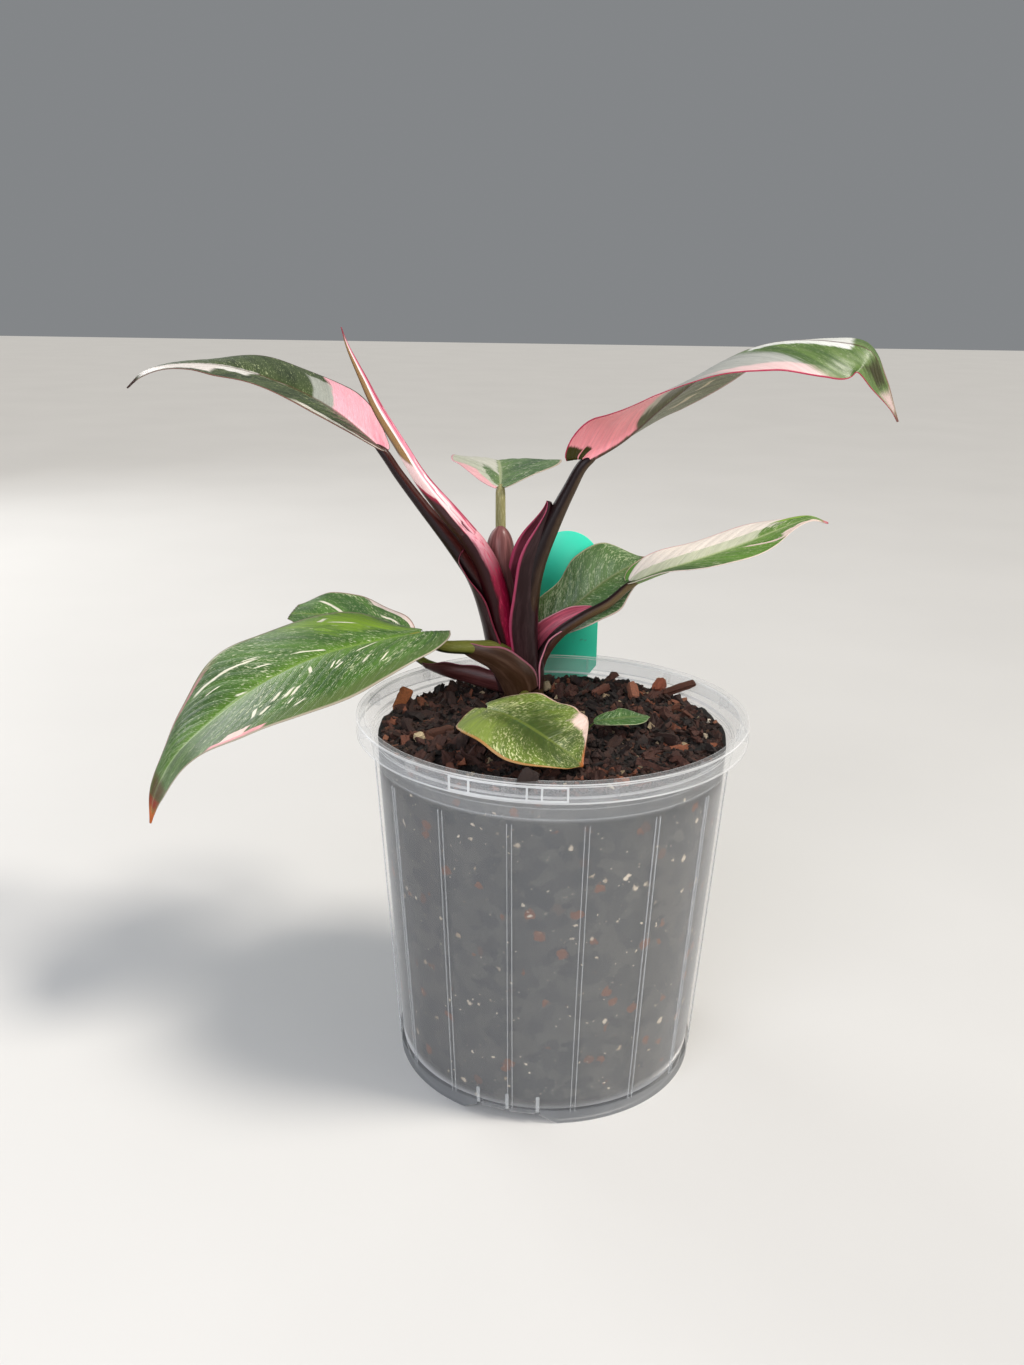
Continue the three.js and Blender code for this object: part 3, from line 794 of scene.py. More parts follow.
        # The tissue between the smallest veins, drawn at 0.7 mm, coarser than it is, so that it shows.
        grain = add("TexNoise", {"Vector": drawn, "Scale": 1 / 0.7, "Detail": 3.0, "Roughness": 0.7})
        lay(skin.cover((grain, 0.25, 0.75)), share=0.1, blend="OVERLAY")
        # Soft streaks of one tone run down the veins through every sector.
        tone = add("VectorMath", {0: veins, 1: (1.0, 0.08, 1.0)}, operation="MULTIPLY")
        bands = add("TexNoise", {"Vector": tone, "Scale": 1 / 1.8, "Detail": 3.0, "Roughness": 0.6})
        dull = add("MapRange", {0: bands, 1: 0.3, 2: 0.7, 3: 0.84, 4: 1.06})
        skin.ground = add("VectorMath", {0: skin.ground, "Scale": dull}, operation="SCALE").outputs[0]
        # Midrib, margin and tip.
        lay(look.rib, (out, 1.1, 0.3), share=0.7)
        lay(look.margin, (side, 0.955, 0.985))
        lay(look.far_margin, (side, 0.955, 0.985), (s, 0.01, -0.01))
        wander = add("Math", {0: stray, 1: 0.08, 2: t}, operation="MULTIPLY_ADD")
        lay(look.tip, (wander, look.tip_from, look.tip_from + 0.035))
        fine = add("Math", {0: run, 1: 0.6}, operation="PINGPONG")
        height = add("Math", {0: grain, 1: 0.5, 2: fine}, operation="MULTIPLY_ADD")
        sunk = add("Math", {0: skin.cover((ripple, 0.7, 0.1)), 1: -1.2, 2: height}, operation="MULTIPLY_ADD")
        coat = 0.14 if face is Face.UPPER else 0.04
        own = {"IOR": 1.45, "Specular IOR Level": 0.4, "Coat Weight": coat, "Coat Roughness": 0.22}
        return skin.finish(grain, (look.gloss - 0.06, look.gloss + 0.1), sunk, (0.35, 0.15), own)


# ---- geometry nodes


def new_tree(name: str, sockets: dict[str, str]) -> tuple[NodeTree, Node]:
    """Starts a geometry node tree with named inputs.

    Args:
        name: The tree's name.
        sockets: The name and the socket type of each input besides the geometry.

    Returns:
        The tree and its Group Input node.
    """
    tree = bpy.data.node_groups.new(name, "GeometryNodeTree")
    tree.interface.new_socket("Geometry", in_out="INPUT", socket_type="NodeSocketGeometry")
    for label, kind in sockets.items():
        tree.interface.new_socket(label, in_out="INPUT", socket_type=kind)
    tree.interface.new_socket("Geometry", in_out="OUTPUT", socket_type="NodeSocketGeometry")
    return tree, add(tree, "NodeGroupInput")


def end_tree(tree: NodeTree, source: Node, geometry: Socket) -> None:
    """Ends a tree with real geometry in its finish.

    Args:
        tree: The tree.
        source: Its Group Input, which has a Finish.
        geometry: The socket or node whose geometry leaves the tree.
    """
    real = add(tree, "GeometryNodeRealizeInstances", {"Geometry": geometry})
    done = add(tree, "GeometryNodeSetMaterial", {"Geometry": real, "Material": source.outputs["Finish"]})
    add(tree, "NodeGroupOutput", {0: done})


def grow(piece: Object, tree: NodeTree, values: dict[str, object]) -> Object:
    """Runs a tree on an object and keeps the result as a plain mesh object of the same name.

    Args:
        piece: The object that the tree starts from, which is then gone.
        tree: The tree.
        values: The tree's input names and their values.

    Returns:
        The new object.
    """
    modifier = piece.modifiers.new(tree.name, "NODES")
    modifier.node_group = tree
    for item in tree.interface.items_tree:
        if item.in_out == "INPUT" and item.name in values:
            modifier[item.identifier] = values[item.name]
    return settle(piece)


def tube_tree() -> NodeTree:
    """Makes the tree that follows a curve with a round stalk and stores where each point lies on it.

    Returns:
        The tree, with inputs Sides, Length in millimetres and Finish.
    """
    kinds = {"Sides": "NodeSocketInt", "Length": "NodeSocketFloat", "Finish": "NodeSocketMaterial"}
    tree, source = new_tree("stalk_on_path", kinds)
    keep = add(tree, "GeometryNodeCaptureAttribute", {0: source.outputs["Geometry"]})
    keep.capture_items.new("FLOAT", "Share")
    tree.links.new(add(tree, "GeometryNodeSplineParameter").outputs["Factor"], keep.inputs[1])
    circle = {"Resolution": source.outputs["Sides"], "Radius": 1.0}
    ring = add(tree, "GeometryNodeCurvePrimitiveCircle", circle)
    turn = add(tree, "GeometryNodeCaptureAttribute", {0: ring.outputs["Curve"]})
    turn.capture_items.new("FLOAT", "Turn")
    tree.links.new(add(tree, "GeometryNodeSplineParameter").outputs["Factor"], turn.inputs[1])
    radius = add(tree, "GeometryNodeInputRadius")
    sweep = {"Curve": keep, "Profile Curve": turn, "Scale": radius, "Fill Caps": True}
    tube = add(tree, "GeometryNodeCurveToMesh", sweep)
    run = add(tree, "Math", {0: keep.outputs[1], 1: source.outputs["Length"]}, operation="MULTIPLY")
    spot = add(tree, "CombineXYZ", {0: run, 1: turn.outputs[1], 2: keep.outputs[1]})
    kept = {"Geometry": tube, "Name": "stalk", "Value": spot}
    stored = add(tree, "GeometryNodeStoreNamedAttribute", kept, data_type="FLOAT_VECTOR")
    end_tree(tree, source, add(tree, "GeometryNodeSetShadeSmooth", {"Geometry": stored}))
    return tree


def ring_tree() -> NodeTree:
    """Makes the tree that repeats a part round the pot's axis.

    Returns:
        The tree, with inputs Count, Start in radians and Finish.
    """
    kinds = {"Count": "NodeSocketInt", "Start": "NodeSocketFloat", "Finish": "NodeSocketMaterial"}
    tree, source = new_tree("ring_of_parts", kinds)
    count, start = source.outputs["Count"], source.outputs["Start"]
    spots = add(tree, "GeometryNodeMeshLine", {"Count": count, "Offset": (0, 0, 0)})
    step = add(tree, "Math", {0: 2 * math.pi, 1: count}, operation="DIVIDE")
    numbered = {0: add(tree, "GeometryNodeInputIndex"), 1: step, 2: start}
    turn = add(tree, "Math", numbered, operation="MULTIPLY_ADD")
    angles = add(tree, "CombineXYZ", {2: turn})
    parts = {"Points": spots, "Instance": source.outputs["Geometry"], "Rotation": angles}
    end_tree(tree, source, add(tree, "GeometryNodeInstanceOnPoints", parts))
    return tree


def scatter_tree() -> NodeTree:
    """Makes the tree that strews irregular bits over a surface.

    Returns:
        The tree, with inputs Density for a square metre, Seed, Bit size, Smallest, Largest, Cuts, Rough
        and Finish.
    """
    kinds = {name: "NodeSocketFloat" for name in ("Density", "Smallest", "Largest", "Rough")}
    kinds |= {"Seed": "NodeSocketInt", "Cuts": "NodeSocketInt"}
    kinds |= {"Bit size": "NodeSocketVector", "Finish": "NodeSocketMaterial"}
    tree, source = new_tree("strewn_bits", kinds)
    given = source.outputs
    surface = {"Mesh": given["Geometry"], "Density": given["Density"], "Seed": given["Seed"]}
    spots = add(tree, "GeometryNodeDistributePointsOnFaces", surface)
    cuts = given["Cuts"]
    cube = {"Size": given["Bit size"], "Vertices X": cuts, "Vertices Y": cuts, "Vertices Z": 2}
    bit = add(tree, "GeometryNodeMeshCube", cube)
    tilt = {0: (-0.85, -0.85, 0.0), 1: (0.85, 0.85, 6.2832), "Seed": given["Seed"]}
    angles = add(tree, "FunctionNodeRandomValue", tilt, data_type="FLOAT_VECTOR")
    spread = add(tree, "FunctionNodeRandomValue", {2: given["Smallest"], 3: given["Largest"], "Seed": 5})
    parts = {"Points": spots, "Instance": bit, "Rotation": angles.outputs[0], "Scale": spread.outputs[1]}
    strewn = add(tree, "GeometryNodeInstanceOnPoints", parts)
    tint = add(tree, "FunctionNodeRandomValue", {"Seed": 9}, data_type="FLOAT_VECTOR")
    kept = {"Geometry": strewn, "Name": "tint", "Value": tint.outputs[0]}
    stored = add(tree, "GeometryNodeStoreNamedAttribute", kept, data_type="FLOAT_VECTOR", domain="INSTANCE")
    real = add(tree, "GeometryNodeRealizeInstances", {"Geometry": stored})
    noise = add(tree, "TexNoise", {"Vector": add(tree, "GeometryNodeInputPosition"), "Scale": 420.0})
    level = add(tree, "VectorMath", {0: noise.outputs["Color"], 1: (0.5, 0.5, 0.5)}, operation="SUBTRACT")
    push = add(tree, "VectorMath", {0: level, "Scale": given["Rough"]}, operation="SCALE")
    bent = add(tree, "GeometryNodeSetPosition", {"Geometry": real, "Offset": push})
    end_tree(tree, source, bent)
    return tree


# ---- stalks, sheaths and the crown


@dataclass(frozen=True)
class StalkFinish:
    """The waxy skin of a leaf stalk: burgundy pigment over green, with pale lengthwise streaks.

    Args:
        dark: The darkest colour.
        flush_and_light: The side towards the key light, partly its own reddening, partly painted light.
        upper: That lighter side's colour at the upper end.
        streak: The colour of the fine streaks.
        streaks: How strongly the streaks show, from 0 to 1.
        light: The direction of the key light, which the lighter side faces.
        cover: Where the lighter side starts, from -1 for all round to 1 for none.
        gloss: The roughness.
        blur: How softly the lighter side fades.
        turn: The share of the length from which the upper colour takes over.
    """

    dark: str
    flush_and_light: str
    upper: str
    streak: str
    streaks: float = 0.35
    light: Point = (1.0, -0.2, 0.1)
    cover: float = 0.1
    gloss: float = 0.34
    blur: float = 0.7
    turn: float = 0.25

    def material(self, name: str) -> Material:
        """Makes the waxy stem finish; the eye gets a wet-looking dark stem, painted lighter on the side to
        the light.

        Args:
            name: The stalk's name.

        Returns:
            The material.
        """
        skin = Skin(f"waxy_stalk_{name}", self.dark)
        (_, _, up), place = skin.measures("stalk")
        drawn = skin.add("VectorMath", {0: place, 1: (0.06, 9.0, 1.0)}, operation="MULTIPLY")
        cloud = skin.add("TexNoise", {"Vector": drawn, "Scale": 1.3, "Detail": 4.0, "Roughness": 0.6})
        # Painted light: the side facing the key light is lighter, partly its own reddening, and alone
        # streaked.
        lean = skin.add("Math", {0: cloud, 1: 0.7, 2: skin.facing(self.light)}, operation="MULTIPLY_ADD")
        lit = (lean, self.cover + (1 - self.blur) / 2, self.cover + (1 + self.blur) / 2)
        skin.lay(self.flush_and_light, lit)
        skin.lay(self.upper, lit, (up, self.turn, 0.95))
        # The pale streaks are drawn some half a millimetre apart, coarser than they are, so that they show.
        fine = skin.add("TexNoise", {"Vector": drawn, "Scale": 5.0, "Detail": 3.0, "Roughness": 0.7})
        skin.lay(self.streak, lit, (fine, 0.5, 0.68), share=self.streaks)
        own = {"Specular IOR Level": 0.2, "Coat Weight": 0.08, "Coat Roughness": 0.12}
        return skin.finish(fine, (self.gloss - 0.05, self.gloss + 0.14), fine, (0.3, 0.2), own)


@dataclass
class Stalk:
    """A leaf stalk: a round stem that follows a path and thins towards its blade.

    Args:
        name: Its name.
        points: The path in millimetres.
        radii: Radii spread evenly along the path.
        finish: Its skin.
        nose: The length of its rounded upper end in millimetres.
        steps: How many rings it has.
        sides: How many points go round.
    """

    name: str
    points: Sequence[Point]
    radii: Sequence[float]
    finish: StalkFinish
    nose: float = 6.0
    steps: int = 72
    sides: int = 20

    def build(self, tree: NodeTree) -> Object:
        """Makes the stalk on a curve with the tube tree.

        Args:
            tree: The tree that tube_tree made.

        Returns:
            The object.
        """
        path = Path(self.points)
        share = 1 - (1 - np.linspace(0, 1, self.steps)) ** 1.5
        into = np.clip(1 - (1 - share) * path.length / self.nose, 0, 1)
        radii = along(self.radii, share) * np.sqrt(1.01 - into**2)
        curve = bpy.data.curves.new(self.name, "CURVE")
        curve.dimensions = "3D"
        spline = curve.splines.new("POLY")
        spline.points.add(self.steps - 1)
        for knot, point, radius in zip(spline.points, path.at(share) * MM, radii * MM):
            knot.co = (*point, 1.0)
            knot.radius = radius
        values = {"Sides": self.sides, "Length": path.length, "Finish": self.finish.material(self.name)}
        return grow(placed(self.name, curve), tree, values)


@dataclass
class Sheath:
    """The winged sheath at a stalk's foot: an open trough with thin pink margins.

    Args:
        name: Its name.
        points: The path of its trough in millimetres.
        towards: The direction that it opens to.
        radii: Radii of the trough along the path.
        wrap: Degrees that each wing reaches round from the bottom of the trough.
        outside: Its outer colour.
        inside: Its inner colour.
        edge: The colour of its margins.
        wing: How far the margins stand out along the path, in millimetres.
        seed: Shifts its noise.
        tip: The share of its length over which it closes to a rounded tip.
        thickness: Its thickness at the bottom of the trough, in millimetres.
        thin_margin: How much thinner its margins are.
        thin_tip: How much thinner its tip is, as a share.
        flare: How far its margins stand out, as a share of the radius.
        ripple: How far its margins ripple, in millimetres.
        rows: Rows of vertices along it.
        columns: Vertices in a row.
    """

    name: str
    points: Sequence[Point]
    towards: Point
    radii: Sequence[float]
    wrap: Sequence[float]
    outside: str
    inside: str
    edge: str
    wing: Sequence[float] = (0.0, 0.0)
    seed: int = 0
    tip: float = 0.06
    thickness: float = 0.9
    thin_margin: float = 0.55
    thin_tip: float = 0.4
    flare: float = 0.15
    ripple: float = 0.35
    rows: int = 72
    columns: int = 33

    def build(self) -> Object:
        """Makes the trough, thick at its bottom and thin at its margins.

        Returns:
            The object.
        """
        path = Path(self.points)

        def surface(t: Array, s: Array) -> Array:
            """Gives the trough's inner points.

            Args:
                t: Shares along it.
                s: From -1 at one margin to 1 at the other.

            Returns:
                The points in millimetres.
            """
            share = np.clip(t, 0, 1)
            heading = path.heading(share)
            level = np.asarray(self.towards, float)
            towards = unit(level - (heading @ level)[..., None] * heading)
            sideways = np.cross(heading, towards)
            angle = np.radians(along(self.wrap, share)) * s
            into = np.clip(1 - (1 - share) / self.tip, 0, 1)
            radius = along(self.radii, share) * np.sqrt(1.02 - into**2) * (1 + self.flare * np.abs(s) ** 3)
            ripple = self.ripple * np.abs(s) ** 4 * np.sin(19 * share + self.seed)
            rise = (along(self.wing, share) * s**2 - radius * np.cos(angle) + ripple)[..., None]
            reach = (radius * np.sin(angle))[..., None]
            overrun = ((t - share) * path.length)[..., None] * heading
            return path.at(share) + towards * rise + sideways * reach + overrun

        rows = 1 - (1 - np.linspace(0, 1, self.rows)) ** 1.4
        t, s = np.meshgrid(rows, np.linspace(-1, 1, self.columns), indexing="ij")
        points = surface(t, s)
        normals = grid_normals(surface, t, s)
        depth = (self.thickness - self.thin_margin * np.abs(s) ** 3) * (1 - self.thin_tip * t**6)
        lower = points - normals * depth[..., None]
        marks = {"sheath": np.stack([t * path.length, s, t], -1)}
        finishes = [self.material(self.inside, "inner"), self.material(self.outside, "outer")]
        return Sheet(points, lower).build(self.name, finishes, marks)

    def material(self, colour: str, side: str) -> Material:
        """Makes the sheath's waxy skin: painted highlights and soft glints over parallel ribs, with a paler
        margin.

        Args:
            colour: Its ground colour.
            side: "inner" or "outer".

        Returns:
            The material.
        """
        skin = Skin(f"waxy_{self.name}_{side}", colour)
        (_, across, _), place = skin.measures("sheath")
        moved = {0: place, 1: (0.05, 5.0, 0.0), 2: (0.0, 0.0, 3.1 * self.seed)}
        drawn = skin.add("VectorMath", moved, operation="MULTIPLY_ADD")
        cloud = skin.add("TexNoise", {"Vector": drawn, "Scale": 1.2, "Detail": 4.0, "Roughness": 0.65})
        # Painted highlights: a copy of the ground about twice as bright, laid in soft clouds.
        lit = [min(1.0, 2.1 * c + 0.02) for c in linear(colour)[:3]]
        skin.lay((*lit, 1.0), (cloud, 0.35, 0.75))
        wide = skin.add("Math", {0: across}, operation="ABSOLUTE")
        stray = skin.add("Math", {0: cloud, 1: 0.05, 2: wide}, operation="MULTIPLY_ADD")
        skin.lay(self.edge, (stray, 0.955, 1.0))
        ribs = skin.add("Math", {0: across, 1: 0.045}, operation="PINGPONG")
        own = {"Specular IOR Level": 0.2, "Coat Weight": 0.07, "Coat Roughness": 0.16}
        return skin.finish(cloud, (0.3, 0.42), ribs, (0.4, 0.2), own)


def lathe_points(outline: Outline, sides: int, centre: Point = (0, 0, 0)) -> Array:
    """Turns an outline round the vertical.

    Args:
        outline: Its radii and heights.
        sides: How many points go round.
        centre: A point on the axis, which heights are measured from.

    Returns:
        The rings of points, outline by sides by 3.
    """
    angle = np.linspace(0, 2 * np.pi, sides, endpoint=False)
    radius, height = np.asarray(outline, float).T
    x = centre[0] + radius[:, None] * np.sin(angle)
    y = centre[1] - radius[:, None] * np.cos(angle)
    z = centre[2] + np.repeat(height[:, None], sides, axis=1)
    return np.stack([x, y, z], -1)


def lathe(
    name: str, rings: Array, materials: Sequence[Material], slots: Sequence[int] | None = None
) -> Object:
    """Closes rings of points to a solid, with a pole where a ring has no width.

    Args:
        name: The piece's name.
        rings: Rings by sides by 3, from the underside's centre outwards, up and back in to the axis.
        materials: Its materials.
        slots: The material number of the band after each ring, or None for the first.

    Returns:
        The object.
    """
    count, sides = rings.shape[:2]
    points: list[Array] = []
    starts: list[tuple[int, int]] = []
    for ring in rings:
        single = np.ptp(ring, axis=0).max() < 1e-6
        starts.append((len(points), 1 if single else sides))
        points.extend(ring[:1] if single else ring)
    faces, numbers = [], []
    for i in range(count - 1):
        (a, many), (b, others) = starts[i], starts[i + 1]
        for k in range(sides):
            n = (k + 1) % sides
            if many == 1:
                faces.append((a, b + n, b + k))
            elif others == 1:
                faces.append((a + k, a + n, b))
            else:
                faces.append((a + k, a + n, b + n, b + k))
            numbers.append(slots[i] if slots is not None else 0)
    return make_mesh(name, np.array(points), faces, materials, numbers)


@dataclass
class Crown:
    """The short stem with the leaf stalks and their sheaths, which grew as one piece."""

    stalks: Sequence[Stalk]
    sheaths: Sequence[Sheath]
    place: Point = (-8.0, 38.0, 114.0)
    radius: float = 7.0
    height: float = 19.0
    taper: float = 1.5

    def build(self) -> None:
        """Builds every stalk, every sheath and the stem, and dresses them in the crown's place."""
        tree = tube_tree()
        for stalk in self.stalks:
            dress(stalk.build(tree), "burgundy_stalk", "crown")
        for sheath in self.sheaths:
            dress(sheath.build(), "burgundy_stalk", "crown")
        dress(self.stem(), "burgundy_stalk", "crown")

    def stem(self) -> Object:
        """Turns the stem with the scars that fallen sheaths leave round it.

        Returns:
            The object.
        """
        rise = np.linspace(0, 1, 40)
        ripple = 0.25 * np.cos(rise * 30)
        radii = self.radius - self.taper * rise + ripple
        # Its top is rounded off.
        radii[-4:] *= np.array([0.97, 0.88, 0.7, 0.4])
        outline = [(0, 0), *zip(radii, rise * self.height), (0, self.height)]
        finish = StalkFinish("#2b1a12", "#5a4630", "#5a4630", "#8d8160", 0.5)
        return lathe("stem", lathe_points(outline, 48, self.place), [finish.material("stem")])


@dataclass
class Shoots:
    """What grows beside the crown: the seedling leaf's thread of a stalk, and a small pointed sprout."""

    seedling: Stalk
    sprout: Stalk

    def build(self) -> None:
        """Builds both; the stalk stands for its leaf's node, and the sprout for itself."""
        tree = tube_tree()
        dress(self.seedling.build(tree), "green_blade", "leaf_seedling")
        dress(self.sprout.build(tree), "green_blade")


@dataclass
class NewLeaf:
    """The newest leaf, still rolled to a spindle with its outer margin as a seam down one side.

    Args:
        points: The spindle's path in millimetres.
        radii: Radii spread evenly along the path.
        rows: How many rings it has.
        sides: How many points go round.
        seam_step: How far the radius drops at the seam, as a share.
        seam_at: Where the seam starts, in radians round the spindle.
        seam_turn: How far it winds round up to the tip, in radians.
        right: The direction that its pink side faces.
    """

    points: Sequence[Point]
    radii: Sequence[float]
    rows: int = 150
    sides: int = 48
    seam_step: float = 0.16
    seam_at: float = 2.1
    seam_turn: float = 1.6
    right: Point = (0.85, -0.1, 0.5)

    def build(self) -> Object:
        """Makes the spindle ring by ring, with a step in its radius where the rolled margin ends.

        Returns:
            The object.
        """
        path = Path(self.points)
        share = np.linspace(0, 1, self.rows)
        heading = path.heading(share)
        side = unit(np.cross(heading, (0.0, 1.0, 0.0)))
        front = np.cross(heading, side)
        angle = np.linspace(0, 2 * np.pi, self.sides, endpoint=False)
        seam = self.seam_at + self.seam_turn * share
        turned = np.mod(angle[None, :] - seam[:, None], 2 * np.pi) / (2 * np.pi)
        roll = 1 - self.seam_step * turned
        radius = along(self.radii, share)[:, None] * roll
        ring = side[:, None] * np.cos(angle)[None, :, None] + front[:, None] * np.sin(angle)[None, :, None]
        tube = path.at(share)[:, None] + ring * radius[..., None]
        ends = [np.repeat(path.at(np.array([end])), self.sides, 0) for end in (0.0, 1.0)]
        rings = np.concatenate([ends[0][None], tube, ends[1][None]])
        piece = lathe("new_leaf_roll", rings, [self.material()])
        spots = np.stack([share[:, None] + 0 * turned, turned, roll], -1).reshape(-1, 3)
        carry(piece, "roll", np.vstack([[[0, 0, 0]], spots, [[1, 0, 0]]]))
        return piece

    def material(self) -> Material:
        """Makes the young skin: gold-brown on its left, a painted highlight line, pink on its right and a
        dark foot.

        Returns:
            The material.
        """
        skin = Skin("waxy_rolled_leaf", "#f2ccc9")
        add, lay = skin.add, skin.lay
        (up, turned, _), place = skin.measures("roll")
        drawn = add("VectorMath", {0: place, 1: (7.0, 26.0, 1.0)}, operation="MULTIPLY")
        cloud = add("TexNoise", {"Vector": drawn, "Scale": 1.0, "Detail": 4.0, "Roughness": 0.6})
        lean = add("Math", {0: cloud, 1: 0.3, 2: skin.facing(self.right)}, operation="MULTIPLY_ADD")
        lay("#e58aa0", (lean, 0.5, 1.0))
        lay("#edb0ba", (up, 0.25, 0.0))
        lay("#c2264f", (cloud, 0.52, 0.6), (up, 0.4, 0.0))
        # Gold-brown above, from a ragged edge; its darker far left is painted shade, turned from the light.
        start = add("Math", {0: lean, 1: 0.05, 2: up}, operation="MULTIPLY_ADD")
        gold = ((lean, 0.54, 0.44), (start, 0.395, 0.43))
        lay("#4a2c18", *gold)
        lay("#9a7444", *gold, (lean, -0.8, -0.1))
        # A painted highlight: one pale line along the roll, where its surface turns from gold to pink.
        offset = add("Math", {0: lean, 1: -0.66}, operation="ADD")
        from_highlight_line = add("Math", {0: offset}, operation="ABSOLUTE")
        lay("#f8ece9", (from_highlight_line, 0.22, 0.1), (up, 0.0, 0.25))
        lay("#b0405c", (lean, 1.06, 1.12))
        # The dark stalk side runs up the left of its foot to a crimson lip.
        low = add("Math", {0: lean, 1: 0.1, 2: up}, operation="MULTIPLY_ADD")
        lay("#a01538", (low, 0.27, 0.25), (lean, 0.46, 0.34))
        lay("#35090f", (low, 0.25, 0.2), (lean, 0.46, 0.34))
        lay("#8e2a3c", (up, 0.93, 0.98))
        lay("#8e1f3c", (turned, 0.02, 0.008), (up, 0.25, 0.45))
        own = {"Specular IOR Level": 0.4, "Coat Weight": 0.12, "Coat Roughness": 0.18}
        return skin.finish(cloud, (0.26, 0.42), cloud, (0.3, 0.2), own)


# ---- pot


def box_points(angle: float, radius: float, height: float, size: Point, lean: float = 0.0) -> Array:
    """Gives the corners of a box that stands on a circle round the pot's axis.

    Args:
        angle: Degrees round from the front, towards +X.
        radius: The radius of its centre.
        height: The height of its centre.
        size: Its width, depth and height.
        lean: How far it leans outwards at the top, in radians.

    Returns:
        Eight corners.
    """
    corners = np.array([[x, y, z] for z in (-0.5, 0.5) for y in (-0.5, 0.5) for x in (-0.5, 0.5)]) * size
    lean_by = Matrix.Rotation(lean, 3, "X")
    turn = Matrix.Rotation(math.radians(angle), 3, "Z")
    moved = [lean_by @ Vector(corner) + Vector((0, -radius, height)) for corner in corners]
    return np.array([turn @ corner for corner in moved])


BOX_FACES: Faces = [(0, 2, 3, 1), (4, 5, 7, 6), (0, 1, 5, 4), (1, 3, 7, 5), (3, 2, 6, 7), (2, 0, 4, 6)]


def box(name: str, corners: Array, bevel: float = 0.0) -> Object:
    """Makes a box from its corners.

    Args:
        name: Its name.
        corners: Its corners in millimetres, as box_points gives them.
        bevel: How far its edges are rounded off, in millimetres.

    Returns:
        The object.
    """
    piece = make_mesh(name, corners, BOX_FACES, [])
    if bevel:
        rounding = piece.modifiers.new("round", "BEVEL")
        rounding.width = bevel * MM
        rounding.segments = 2
        piece = settle(piece)
    return piece


def soften(outline: Outline, radius: float, cuts: int = 3) -> tuple[list[Pair], list[bool]]:
    """Rounds the corners of an open outline.

    Args:
        outline: Its points.
        radius: How far from a corner the round starts, at most.
        cuts: How many stretches a round has.

    Returns:
        The outline with rounded corners, and for each point whether the stretch after it is in a corner.
    """
    points = [np.array(p, float) for p in outline]
    softened, corners = [points[0]], [False]
    for before, corner, after in zip(points, points[1:], points[2:]):
        back, ahead = before - corner, after - corner
        reach = min(radius, 0.45 * np.linalg.norm(back), 0.45 * np.linalg.norm(ahead))
        start = corner + back / np.linalg.norm(back) * reach
        end = corner + ahead / np.linalg.norm(ahead) * reach
        for i in range(cuts + 1):
            f = i / cuts
            softened.append((1 - f) ** 2 * start + 2 * f * (1 - f) * corner + f**2 * end)
            corners.append(i < cuts)
    return [tuple(p) for p in [*softened, points[-1]]], [*corners, False]


@dataclass(frozen=True)
class ClearPlastic:
    """Clear polypropylene, injection moulded: milky and a little blurred, whitest at its edges as painted
    highlight.

    Args:
        name: The finish's name.
        colour: Its haze.
        cover: How much of what lies behind it the haze hides.
        rough: Its roughness.
    """

    name: str
    colour: str
    cover: float
    rough: float

    def material(self) -> Material:
        """Makes the plastic with faint flow marks in its gloss, some 17 mm wide and 45 mm long.

        Returns:
            The material.
        """
        skin = Skin(self.name, self.colour)
        where = skin.add("TexCoord").outputs["Object"]
        flow = skin.add("Mapping", {0: where, "Scale": (60.0, 60.0, 22.0)})
        marks = skin.add("TexNoise", {"Vector": flow, "Scale": 1.0, "Detail": 4.0, "Roughness": 0.6})
        shade = [0.9 * c for c in linear(self.colour)[:3]]
        skin.lay((*shade, 1.0), (marks, 0.7, 0.3))
        own = {"Alpha": self.cover, "IOR": 1.49}
        return skin.finish(marks, (self.rough - 0.04, self.rough + 0.06), marks, (0.08, 0.3), own)


